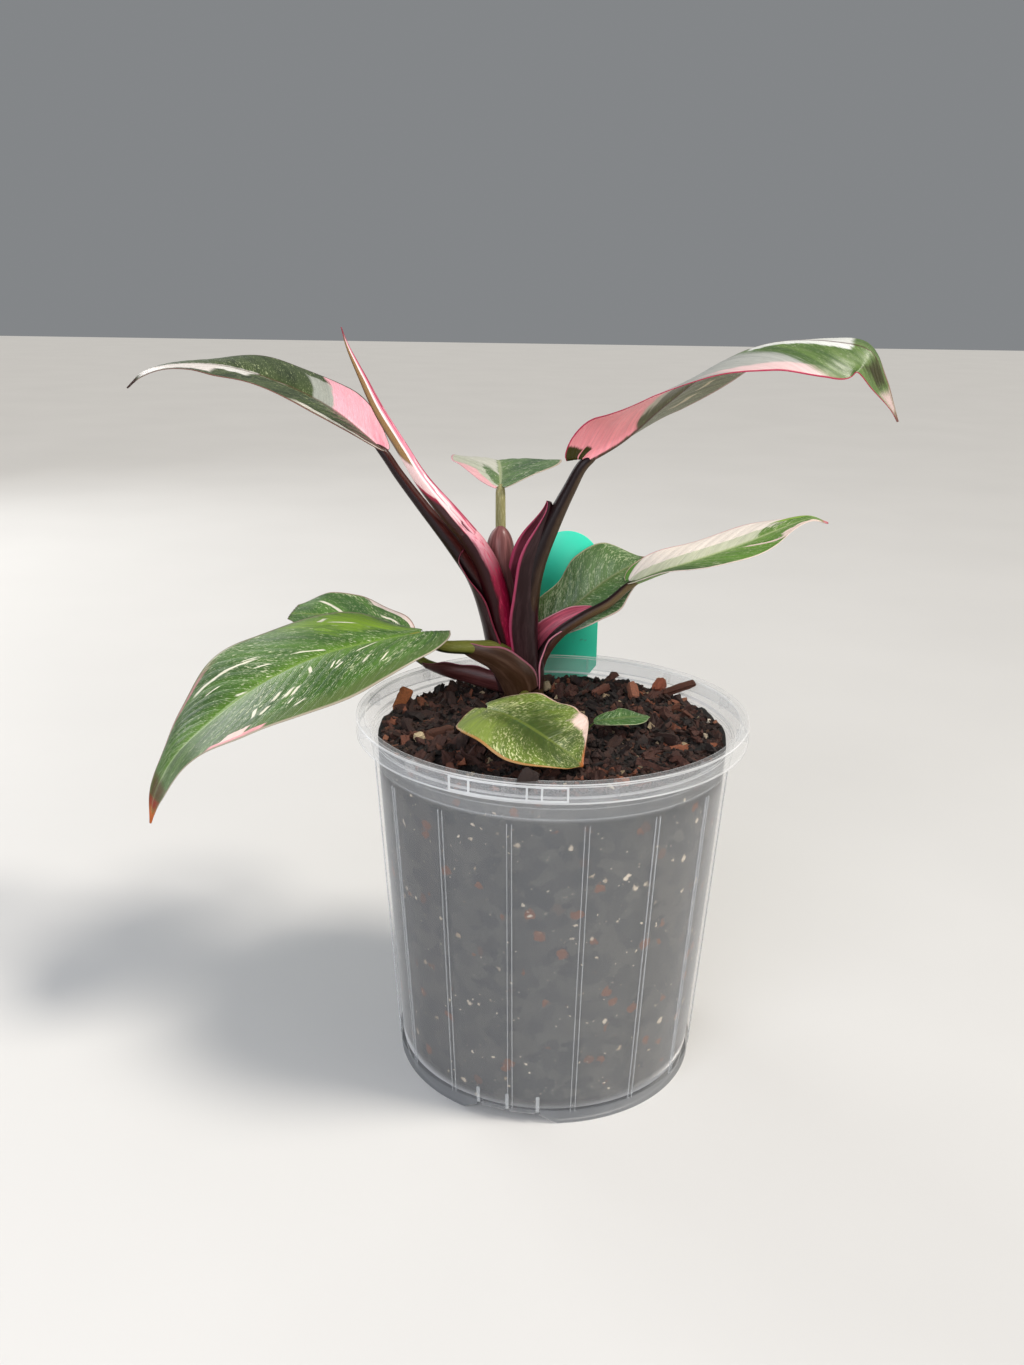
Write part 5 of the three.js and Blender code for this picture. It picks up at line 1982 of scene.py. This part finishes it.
def leaves() -> list[Leaf]:
    """Lists the open leaves, each with its form and its markings.

    Returns:
        The leaves.
    """
    upper_left = BladeFinish(
        deep="#2c3820", bright="#4b5a34", under="#4d5a3a", fleck="#8f9a70", flecks=0.8, fleck_size=0.6,
        margin="#7a5348", far_margin="#4c4a34", rib="#57452f", glow="#465526", tip="#35180f", tip_from=0.93,
        patches=(
            Patch("#5e4a3c", (-0.3, 0.0), (0.05, 1.0), 0.6, 0.3),
            Patch("#dcd8cb", (-0.25, 0.17), (0.84, 0.95), 0.15),
            # A white stripe along the midrib: partly cream variegation, partly a painted highlight along its
            # fold.
            Streak("#f2f0ea", (0.4, 0.02), (0.56, 0.1), 1.4, 0.2),
            Patch("#f2f0ea", (0.5, 0.7), (-0.04, 0.5), 0.15, 0.1, across_veins=True),
            Patch("#f0e9e2", (0.62, 0.93), (-0.05, 0.86), 0.15, 0.1, across_veins=True),
            Patch("#a6aaa0", (0.1, 0.285), (-0.72, 0.0), 0.16),
            Patch("#f3b0bd", (-0.3, 0.2), (-1.0, 0.0), 0.1, 0.04),
            Patch("#e88fa2", (-0.3, -0.02), (-0.6, 0.0), 0.8, 0.5),
        ),
    )
    upper_right = BladeFinish(
        deep="#466132", bright="#6f8a48", under="#655c45", fleck="#c3c8a8", flecks=0.5, fleck_size=0.6,
        margin="#b3264c", far_margin="#a88a7e", rib="#4b1220", glow="#6a8a44", tip="#8d5a54", tip_from=0.965,
        patches=(
            Patch("#b6b8b1", (-0.3, 0.46), (-1.0, 1.0), 0.12, face=Face.UPPER),
            Patch("#f0b6c0", (-0.3, 0.1), (-1.0, 1.0), 0.2, face=Face.UPPER),
            Patch("#eccdcb", (0.2, 0.47), (0.78, 1.0), 0.2, 0.3, face=Face.UPPER),
            Patch("#eef0ea", (0.5, 0.76), (-1.0, 0.16), 0.15, 0.05, Face.UPPER, True),
            Patch("#39391a", (0.83, 0.9), (0.0, 0.66), 0.9, 0.5, Face.UPPER, True),
            Patch("#8f6f60", (0.85, 1.0), (-1.0, -0.42), 0.4, 0.3, Face.UPPER, True),
            Patch("#d9c0ba", (0.92, 0.975), (-0.3, 0.8), 0.8, 0.5, Face.UPPER, True),
            Patch("#5a5840", (0.12, 0.4), (0.03, 1.0), 0.2, face=Face.UNDER),
            Patch("#b3aa98", (0.12, 0.2), (0.2, 0.9), 0.7, 0.2, face=Face.UNDER),
            Patch("#fb9ea4", (-0.4, 0.15), (0.03, 1.0), 0.1, 0.04, Face.UNDER),
            Patch("#3a370f", (-0.1, 0.024), (0.5, 1.0), 0.12, 0.06, Face.UNDER, True),
            Patch("#3a370f", (-0.1, 0.036), (0.27, 0.46), 0.12, 0.06, Face.UNDER, True),
            Patch("#b8aa8a", (0.1, 0.17), (-0.7, -0.62), 0.5, face=Face.UNDER),
            Patch("#b8aa8a", (0.2, 0.25), (-0.62, -0.56), 0.5, face=Face.UNDER),
        ),
    )
    right = BladeFinish(
        deep="#456b2a", bright="#678f3a", under="#8aa868", fleck="#d3dab0", flecks=0.75, fleck_size=0.6,
        margin="#e6d4c8", far_margin="#eab4b4", rib="#a9b884", glow="#7fa04c", tip="#c9707c", tip_from=0.95,
        patches=(
            Patch("#c9cdb2", (-0.2, 0.6), (-0.5, -0.02), 0.3),
            Patch("#efe5da", (-0.3, 0.62), (-1.0, -0.4), 0.25),
            Patch("#8fb24a", (0.6, 0.9), (-1.0, -0.6), 0.4),
            Patch("#5f8c3c", (-0.4, -0.13), (-1.0, -0.45), 0.15),
            Streak("#efd8cc", (0.5, 0.25), (0.505, 1.0), 2.6, 0.3, 0.15),
            Patch("#efd8cc", (0.72, 0.95), (0.6, 1.0), 0.4, across_veins=True),
        ),
    )
    # Thin strokes: where each starts, along and across, where it ends, and its width in millimetres.
    strokes = (
        (0.452, -0.76, 0.425, -0.62, 2.1), (0.432, -0.66, 0.346, -0.46, 1.7), (0.05, -0.72, 0.02, -0.6, 1.0),
        (0.058, -0.78, 0.02, -0.84, 0.9), (0.31, -0.22, 0.272, -0.09, 0.9), (0.155, 0.17, 0.12, 0.06, 0.9),
        (0.3, 0.19, 0.275, 0.3, 0.8), (0.2, 0.37, 0.21, 0.26, 0.8), (0.177, 0.41, 0.171, 0.34, 1.2),
        (0.19, 0.34, 0.193, 0.27, 0.8), (0.076, 0.51, 0.082, 0.39, 1.0), (0.344, 0.52, 0.347, 0.41, 1.6),
        (0.305, 0.55, 0.304, 0.44, 2.0), (0.279, 0.56, 0.283, 0.45, 1.3), (0.358, 0.7, 0.387, 0.55, 1.0),
        (0.337, 0.7, 0.337, 0.6, 1.4), (0.222, 0.77, 0.204, 0.72, 1.1), (0.542, -0.07, 0.52, -0.01, 1.1),
        (0.0, 0.62, 0.01, 0.5, 0.8), (0.26, 0.7, 0.262, 0.62, 0.9), (0.4, -0.3, 0.38, -0.24, 0.9),
        (0.36, -0.56, 0.335, -0.48, 0.8), (0.5, -0.5, 0.48, -0.42, 0.8),
    )
    big_left = BladeFinish(
        deep="#33561f", bright="#52792e", under="#7f8f58", fleck="#d9dfb8", flecks=0.72, fleck_size=0.62,
        margin="#a99f8c", far_margin="#87885a", rib="#78983f", glow="#6f9a26", tip="#c8682c", tip_from=0.94,
        patches=(
            Patch("#80a42e", (-0.12, 0.12), (-0.95, -0.4), 1.2, 0.6),
            Patch("#5a6e3a", (-0.2, 0.3), (0.8, 1.0), 1.4, 1.0),
            *[Streak("#ece9d2", (start, out), (end, far), wide) for start, out, end, far, wide in strokes],
            Streak("#b9cca4", (0.54, 0.01), (0.88, 0.02), 2.2, 0.3, 0.5, across_veins=True),
            Patch("#e9a3a6", (0.26, 0.43), (0.91, 1.0), 0.15),
            Patch("#eed0c6", (0.33, 0.4), (0.82, 0.93), 0.4),
            Patch("#c08a88", (0.6, 1.0), (-1.0, -0.9), 0.2, 0.3, Face.UPPER, True),
            Patch("#5a4a22", (0.87, 0.93), (-0.8, 1.0), 0.5, 0.5, Face.UPPER, True),
            Patch("#93381f", (0.925, 0.955), (-1.0, 1.0), 0.5, 0.5, Face.UPPER, True),
        ),
    )
    hidden_left = BladeFinish(
        deep="#35582a", bright="#587f38", under="#7a8558", fleck="#d9dfb8", flecks=0.7, fleck_size=0.62,
        margin="#6a5a3c", far_margin="#a9907a", rib="#6f8044", glow="#5f8a34", tip="#54402a", tip_from=0.975,
        patches=(
            Patch("#ecdcd4", (-0.3, 0.12), (-1.0, -0.82), 0.3),
            Patch("#e8b8b8", (-0.35, 0.03), (-1.0, -0.95), 0.2),
            Streak("#eae6d4", (0.147, -0.49), (-0.02, -0.56), 1.2),
            Streak("#eae6d4", (0.6, -0.56), (0.556, -0.16), 1.7),
        ),
    )
    round_back = BladeFinish(
        deep="#46663a", bright="#64854a", under="#8a8f58", fleck="#a6b68a", flecks=1.05, fleck_size=0.6,
        margin="#dcc4b4", far_margin="#a9ac84", rib="#7f8a58", glow="#6f8a4c", tip="#8a6a4a", tip_from=0.96,
    )
    small_back = BladeFinish(
        deep="#43603a", bright="#6c8a54", under="#8a8f62", fleck="#cfd4ba", flecks=0.7, fleck_size=0.7,
        margin="#b9a898", far_margin="#e3a4ac", rib="#b4bc94", glow="#7a9450", tip="#8a6a4a", tip_from=0.97,
        patches=(
            Patch("#bfc4b0", (-0.4, 1.3), (-1.0, -0.36), 0.2),
            Patch("#cfd0c2", (0.3, 1.3), (-1.0, -0.05), 0.3),
            Patch("#ecb6ba", (-0.3, 0.06), (-1.0, -0.6), 0.3, 0.2),
        ),
    )
    front_low = BladeFinish(
        deep="#43581f", bright="#6f8432", under="#9aa468", fleck="#ccd09a", flecks=1.15, fleck_size=0.5,
        margin="#a9804a", far_margin="#dcbcae", rib="#66752f", glow="#55702a", tip="#a8602c", tip_from=0.95,
        patches=(
            # A darker middle: painted shadow that the stalks and leaves above cast on it.
            Patch("#3c4f1b", (0.25, 0.8), (-0.5, 0.5), 1.0, 0.7),
            Patch("#7d9040", (-0.1, 0.3), (0.4, 1.0), 1.0, 0.6),
            Patch("#eacfc4", (0.7, 1.1), (-1.0, -0.62), 0.6, 0.3, Face.UPPER, True),
            Patch("#b07a48", (0.3, 1.1), (0.95, 1.0), 0.5, 0.3, Face.UPPER, True),
        ),
    )
    seedling = BladeFinish(
        deep="#2c4a22", bright="#4a6c36", under="#5a6a45", fleck="#a9b890", flecks=0.9, fleck_size=0.4,
        margin="#a9b488", far_margin="#a9b488", rib="#5f7440", glow="#48703a", tip="#5a5a2a", tip_from=0.98,
    )
    return [
        Leaf(
            "leaf_upper_left", "green_blade",
            [(-64.5, 41, 221), (-81.4, 45, 233.3), (-101.5, 50, 242.3), (-124.8, 55, 248),
             (-145.9, 57, 247.7),
             (-155, 57, 244.8), (-160.9, 57, 239.3)],
            (0, -1, 0), [7, 14, 18.5, 19, 18, 13, 7, 0.5], [7, 15, 19.5, 20, 18, 13, 7, 0.5],
            [-4, -7, -4, -5, -6, -5, -14, -40], [22, 27, 21, 17, 14, 5, 0, -15], upper_left, seed=3,
            vein_run=0.14,
        ),
        Leaf(
            "leaf_upper_right", "pink_blade",
            [(11, 31, 218.2), (22.9, 30, 225.7), (38, 28, 239.4), (56, 25, 253.5), (72.3, 22.5, 260.3),
             (93.4, 18, 261.2), (105.2, 15, 258.2), (110.3, 14, 249), (116.35, 13, 235.3)],
            (0, -1, 0), [12, 18.5, 23, 25, 26, 25, 23, 20, 14, 7.5, 0.5],
            [13, 19, 23, 25, 26, 25, 22, 18, 13, 7, 0.5], [66, 46, 28, 15, 1, -12, -20, -33, -52, -50, -36],
            [-12, -12, -18, -23, -25, -23, -15, 0, 14, 20, 20], upper_right, 0.045, 0.02,
            seed=5, vein_run=0.25, shoulder=0.13,
        ),
        Leaf(
            "leaf_right", "pale_blade",
            [(30.9, 41, 171.2), (41.3, 43, 174.9), (52.8, 45, 178.3), (72.4, 50, 184.2), (91.8, 54, 191.4),
             (100.6, 56, 193.9), (107.5, 58, 191.9)],
            (0, -1, 0), [6, 10.5, 13, 13, 11, 6, 0.5], [6, 10.5, 13, 13, 11, 6, 0.5],
            [10, 9, -4, -12, -11, 0, -20], [46, 31, 21, 17, 19, 13, 0], right, seed=8, vein_run=0.25,
        ),
        Leaf(
            "leaf_big_left", "green_blade",
            [(-49, 28, 154), (-63.9, 24, 151.8), (-85.5, 18, 147.2), (-106.7, 11, 137.8), (-124.3, 5, 125.2),
             (-136.5, 0, 113.8), (-144.2, -2.6, 100), (-146.5, -4, 88.6)],
            (0.3, -1, 0), [14, 23, 29, 30, 27, 21, 11, 0.5], [11, 23, 29, 30, 27, 21, 11, 0.5],
            [-12, -14, -18, -17, -8, -1, -12, -32], [-6, 10, 14, 17, 22, 14, 8, 20], big_left, 0.08, 0.01,
            seed=12, vein_run=0.28,
        ),
        Leaf(
            "leaf_hidden_left", "green_blade",
            [(-56.7, 47, 143), (-64.9, 51, 147), (-75.2, 55, 149.9), (-85.6, 58, 151.4), (-95.1, 60, 151.5),
             (-103.9, 62, 151.3)],
            (0, -1, 0), [8, 16, 19, 18, 12, 4], [8, 16, 19, 19, 16, 8], [-19, -24, -19, -16, -19, -20],
            [34, 18, 13, 14, 20, 10], hidden_left, 0.06, 0.02, seed=17,
            vein_run=0.42,
        ),
        Leaf(
            "leaf_round_back", "green_blade",
            [(-5.5, 51.4, 146.5), (1.5, 53.4, 151.5), (11, 55.4, 159), (21, 57.4, 167), (30, 58.9, 172.5),
             (37.5, 60.4, 176.5)],
            (0.5, -0.7, -0.5), [9, 14, 19.5, 20.5, 14.5, 0.5], [8, 11, 12, 15, 13.5, 0.5],
            [30, 30, 26, 22, 24, 0], [20, 20, 20, 20, 20, 0], round_back, 0.05, 0.05, seed=21, vein_run=0.25,
        ),
        Leaf(
            "leaf_small_back", "green_blade",
            [(-20.2, 63.4, 203.4), (-20.2, 72, 204.8), (-20.6, 84, 207), (-21.5, 98, 208.5),
             (-22.5, 110.95, 206.5)],
            (1, 0, 0), [6, 19, 25, 22, 12.5, 0.5], [6, 17, 20.5, 18, 10.5, 0.5], [16, 15, 8, 5, 2, 0],
            [16, 19, 16, 10, 6, 0], small_back, 0.08, 0.08, seed=26, vein_run=0.25,
        ),
        Leaf(
            "leaf_front_low", "pale_blade",
            [(-22.9, -20.5, 141), (-16.7, -28.5, 142), (-10, -35.5, 141), (-2.5, -41, 138), (4, -43, 134),
             (9.1, -42.5, 129.2)],
            (-0.5, -0.85, 0), [7, 18, 20, 18, 11, 0.5], [9, 11.5, 14, 16, 18, 19, 19.5, 20, 20.5, 21, 21.2,
             21.3, 21.2, 21, 20.8, 20.5, 20.2, 19.8, 19, 16, 0.5],
            [-8, -2, -7, -13, -6, 0], [9, 6, 7, 8, 10, 0], front_low, 0.09, 0.1, seed=31, vein_run=0.2,
        ),
        Leaf(
            "leaf_seedling", "green_blade",
            [(14.6, -5.6, 131.6), (19, -6.8, 132.8), (24, -6.4, 133.2), (29, -4, 132.8), (34.8, 0.6, 131.4)],
            (0.3, -1, 0), [2, 4, 5, 4.2, 0.8], [2, 4, 5.4, 4.4, 0.8], [-10, -10, -13, -6, 0],
            [14, 16, 16, 12, 0], seedling, 0, 0, seed=37, rows=60, columns=33, vein_gap=2.5, rib_height=0.5,
        ),
    ]


def crown() -> Crown:
    """Lists the stalks and sheaths.

    Returns:
        The crown.
    """
    burgundy = StalkFinish("#1d0709", "#4c1616", "#38180f", "#8a4a40", 0.3, cover=0.25)
    crimson = StalkFinish(
        "#2c070c", "#8e1234", "#edb0ba", "#c2264f", 0.95, (0.85, -0.1, 0.5), 0.05, blur=0.25, turn=0.6,
    )
    brown = StalkFinish("#190707", "#402a1c", "#4a3a2a", "#7a644a", 0.25, (0.9, 0.1, -0.3), 0.1)
    red = StalkFinish("#241012", "#4a2a22", "#6a5a38", "#8a6a54", 0.3, cover=0.0)
    olive = StalkFinish("#2a2c14", "#6a6c2e", "#7c8034", "#b0a86a", 0.35, (0.3, -0.3, 0.9), -0.2)
    tan = StalkFinish("#544d30", "#8d8659", "#8f8a5c", "#cfcaa4", 0.6, (0.2, -0.6, 0.6), -0.3)
    stalks = [
        Stalk("stalk_upper_left",
              [(-11, 39, 128), (-15, 38.5, 142), (-20.5, 38, 156.5), (-28, 38, 171.5), (-37.2, 38.2, 185),
               (-48.4, 39.1, 199), (-57.4, 40.2, 210.6), (-63, 40.8, 218.6), (-66.2, 41.4, 221.4)],
              [3.6, 3.6, 3.4, 3.3, 3, 2.4, 2, 1.8], burgundy),
        Stalk("stalk_new_leaf",
              [(-13, 36, 130), (-16.4, 36, 142), (-18.6, 35.8, 154), (-21, 35.3, 167), (-24.8, 34.9, 178.5),
               (-31.2, 34.4, 189), (-36.5, 33.5, 195.2)],
              [4, 4.6, 4.8, 4.8, 4.6, 4.2, 3.9], crimson, 13),
        Stalk("stalk_upper_right",
              [(-8, 35, 128), (-10.2, 35, 145), (-9.8, 34.6, 163), (-6.6, 34, 179), (-0.6, 33, 194.5),
               (5.4, 32, 207.5), (10.2, 31.1, 216.6), (14.5, 30.8, 219.6)],
              [4.4, 4.7, 4.6, 4.4, 3.8, 3.1, 2.4, 2], brown),
        Stalk("stalk_small_back",
              [(-12, 43, 130), (-17, 48, 148), (-19.2, 55, 168), (-19.8, 60, 186), (-20.1, 63, 201.8),
               (-20.2, 66.5, 203)],
              [2.2, 2.2, 2.2, 2.1, 2, 1.9], tan),
        Stalk("stalk_round_back", [(-9, 40, 128), (-8.6, 45.5, 136), (-7, 50, 144), (-4.6, 51.4, 146.4)],
              [2, 1.7, 1.5, 1.3], olive),
        Stalk("stalk_right",
              [(-6, 38, 128), (-3.6, 37.4, 141), (2.6, 37, 150.8), (12, 37, 158), (21.4, 38.2, 163.2),
               (29.6, 40.5, 169.7), (33.5, 41.3, 171.3)],
              [2.6, 2.5, 2.3, 2.1, 1.9, 1.7, 1.5], red),
        Stalk("stalk_big_left",
              [(-10, 35, 129), (-12.5, 33.5, 139), (-19.5, 31.5, 146), (-30.5, 30, 147.4), (-41.5, 29, 148.2),
               (-48.5, 28.2, 151.6), (-54, 26.8, 152.3)],
              [3.6, 3.6, 3.3, 2.9, 2.5, 2.1, 1.9], olive),
        Stalk("stalk_hidden_left",
              [(-12, 39, 128.5), (-21, 40.5, 131.5), (-35, 43, 133.4), (-47.6, 45, 136), (-55.6, 46.6, 141),
               (-58.5, 48, 142.8)],
              [2.4, 2.2, 2, 1.8, 1.6, 1.4], olive),
        Stalk("stalk_front_low",
              [(-8.5, 33, 129), (-11, 22, 130.5), (-15, 8, 132.5), (-20, -7, 136.5), (-22.5, -18.8, 139.4),
               (-21.5, -22.5, 140.2)],
              [1.8, 1.5, 1.4, 1.3, 1.2, 1.1], olive),
    ]
    sheaths = [
        Sheath("sheath_upper_right",
               [(-10.5, 36, 130), (-12, 36, 148), (-11.3, 35.8, 165), (-9, 35.2, 179), (-5.4, 34, 192),
                (-1.8, 33, 202.5)],
               (-0.8, -0.2, 0.3), [6, 6.2, 6, 5.4, 4, 1.6], [125, 120, 115, 100, 85, 60],
               "#240a0d", "#4a1220", "#a83a5a", [0, 1, 2.5, 4.4, 4.8, 1], 1),
        Sheath("sheath_upper_left",
               [(-13, 37, 130), (-16.8, 37, 143), (-20.2, 36.8, 158), (-24.4, 36.5, 171), (-32.5, 36, 184)],
               (0.75, -0.3, 0.5), [6, 6, 5.8, 5.6, 4.4], [110, 105, 95, 75, 35], "#210a0c", "#45101a",
               "#7a2438",
               seed=2),
        Sheath("sheath_small_back",
               [(-13, 41, 131), (-16.6, 42.6, 148), (-19, 44, 166), (-19.7, 45, 181), (-19.7, 46.5, 190.5)],
               (0, 1, -0.1), [5, 5, 4.8, 4.6, 4.4], [110, 105, 95, 90, 85], "#6a4240", "#6a4240", "#4a2026",
               seed=3, tip=0.17),
        Sheath("sheath_right",
               [(-7.5, 37.5, 130), (-6.8, 37.5, 142), (-4, 37.5, 149.8), (1.2, 37.5, 155), (7.6, 37.7, 158.8),
                (15.4, 38, 162.2)],
               (-0.4, -0.7, 0.6), [4.4, 4.2, 4, 3.6, 3.2, 1.4], [115, 110, 100, 90, 80, 60],
               "#2c1512", "#a84a5c", "#d98a98", seed=4),
        Sheath("sheath_big_left",
               [(-11, 35, 130), (-13.8, 34, 138), (-19.8, 33, 144), (-28.5, 32.3, 147.2), (-37.5, 32, 149.7)],
               (0.35, 0.6, 0.75), [6.2, 6.6, 5.6, 4, 1.8], [110, 105, 95, 80, 60], "#3e2819", "#4a2c1e",
               "#b06a78", seed=5),
        Sheath("sheath_hidden_left",
               [(-13, 38.6, 130.4), (-22, 39.6, 132.4), (-33, 41.5, 134.6), (-43.5, 43.5, 136),
                (-49.5, 44.5, 136.8)],
               (0, 0.75, 0.66), [4, 3.8, 3.6, 3, 1.4], [105, 100, 95, 85, 60], "#45201f", "#45201f",
               "#a0566a", seed=6),
    ]
    return Crown(stalks, sheaths)


def new_leaf() -> NewLeaf:
    """Gives the rolled leaf its path and radii.

    Returns:
        The leaf.
    """
    return NewLeaf(
        [(-31.2, 34.4, 189), (-39.7, 33, 199), (-48.3, 31.5, 210), (-55, 30.5, 221), (-63.3, 29, 235),
         (-68.5, 28, 246), (-73.6, 27.5, 257.2), (-75.4, 27, 263.2)],
        [3.9, 3.85, 3.2, 2.6, 2.35, 2.15, 1.7, 1.0, 0.2],
    )


def shoots() -> Shoots:
    """Gives the seedling's stalk and the sprout their paths, radii and colours.

    Returns:
        Both.
    """
    green = StalkFinish("#3a4a22", "#7f8f4a", "#7f8f4a", "#b8bf86", 0.4, cover=-0.3)
    thread = [(12.4, -4.6, 122), (12.6, -4.7, 128), (15.6, -5.9, 131.4), (17.5, -6.4, 132)]
    yellow = StalkFinish("#6f8a3a", "#b9c862", "#d8d070", "#e0e6a8", 0.4, cover=-0.5, gloss=0.4)
    shoot = [(22.3, 6, 124.5), (22.6, 5.2, 128.5), (23.5, 3.6, 132), (24.2, 1.6, 134.5)]
    return Shoots(
        Stalk("seedling_stalk", thread, [0.8, 0.8, 0.7, 0.3], green, 30, 12),
        Stalk("sprout", shoot, [1.0, 1.25, 0.9, 0.15], yellow, 40, 14),
    )


# ---- camera, lights and floor


@dataclass
class Studio:
    """The pale floor, the soft lights and the camera.

    The camera's place and the floor are in millimetres, and the angles are in degrees.
    """

    camera_place: Point = (-14.5, -407.0, 277.4)
    pitch: float = 18.2
    roll: float = 0.84
    lens: float = 31.78
    key_from: Point = (0.7, -0.15, 1.0)
    key_power: float = 2.6
    key_size: float = 16.0
    floor_half: float = 6000.0

    def build(self) -> None:
        """Sets the camera, the lights, the world and the floor."""
        scene = bpy.context.scene
        camera = placed("camera", bpy.data.cameras.new("camera"))
        camera.data.sensor_fit = "AUTO"
        camera.data.sensor_width = 36.0
        camera.data.lens = self.lens
        camera.data.clip_start = 0.01
        pitch = Matrix.Rotation(math.radians(90 - self.pitch), 4, "X")
        tilt = pitch @ Matrix.Rotation(math.radians(self.roll), 4, "Z")
        camera.matrix_world = Matrix.Translation(Vector(self.camera_place) * MM) @ tilt
        scene.camera = camera
        sun = bpy.data.lights.new("key", "SUN")
        sun.energy = self.key_power
        sun.angle = math.radians(self.key_size)
        sun.color = linear("#fff7ec")[:3]
        key = placed("key", sun)
        key.matrix_world = (-Vector(self.key_from)).to_track_quat("-Z", "Y").to_matrix().to_4x4()
        self.light("fill", (-0.5, -1.1, 0.7), 1.0, 11.0, "#f4f6ff")
        self.light("back", (-0.9, 0.9, 0.7), 0.7, 5.0, "#ffffff")
        self.light("side", (1.0, -0.5, 0.5), 0.8, 3.0, "#fffaf2")
        world = bpy.data.worlds.new("studio")
        world.use_nodes = True
        sky = world.node_tree.nodes["Background"].inputs
        sky["Color"].default_value = linear("#a6a9ac")
        sky["Strength"].default_value = 0.6
        scene.world = world
        scene.view_settings.view_transform = "Standard"
        self.floor()

    def light(self, name: str, place: Point, size: float, power: float, colour: str) -> None:
        """Adds a square soft light that looks at the plant.

        Args:
            name: The light's name.
            place: Where it stands, in metres.
            size: Its width in metres.
            power: Its power in watts.
            colour: Its sRGB colour.
        """
        lamp = bpy.data.lights.new(name, "AREA")
        lamp.size = size
        lamp.energy = power
        lamp.color = linear(colour)[:3]
        aim = Vector((0, 0, 0.15)) - Vector(place)
        turn = aim.to_track_quat("-Z", "Y").to_matrix().to_4x4()
        placed(name, lamp).matrix_world = Matrix.Translation(place) @ turn

    def floor(self) -> None:
        """Lays the pale matte floor, which sends soft light back up and shows no pattern of its own."""
        skin = Skin("pale_matte_floor", "#d4d4d3")
        where = skin.add("TexCoord").outputs["Object"]
        cloud = skin.add("TexNoise", {"Vector": where, "Scale": 6.0, "Detail": 3.0})
        skin.lay("#dcdcdb", share=cloud)
        made = skin.finish(cloud, (0.58, 0.62), cloud, (0.02, 0.1))
        half = self.floor_half
        corners = [(-half, -half, -0.1), (half, -half, -0.1), (half, half, -0.1), (-half, half, -0.1)]
        piece = make_mesh("floor", np.array(corners), [(0, 1, 2, 3)], [made])


def main() -> None:
    """Builds the camera and the stage first, then the pot, its filling, the tag and the plant."""
    logging.basicConfig(level=logging.INFO, format="%(message)s")
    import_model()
    Studio().build()
    pot = Pot()
    pot.build()
    PottingMix(pot).build()
    Tag().build()
    crown().build()
    dress(new_leaf().build(), "pink_blade", "new_leaf")
    for leaf in leaves():
        dress(leaf.build(), leaf.slot, leaf.name)
    shoots().build()


if __name__ == "__main__":
    main()
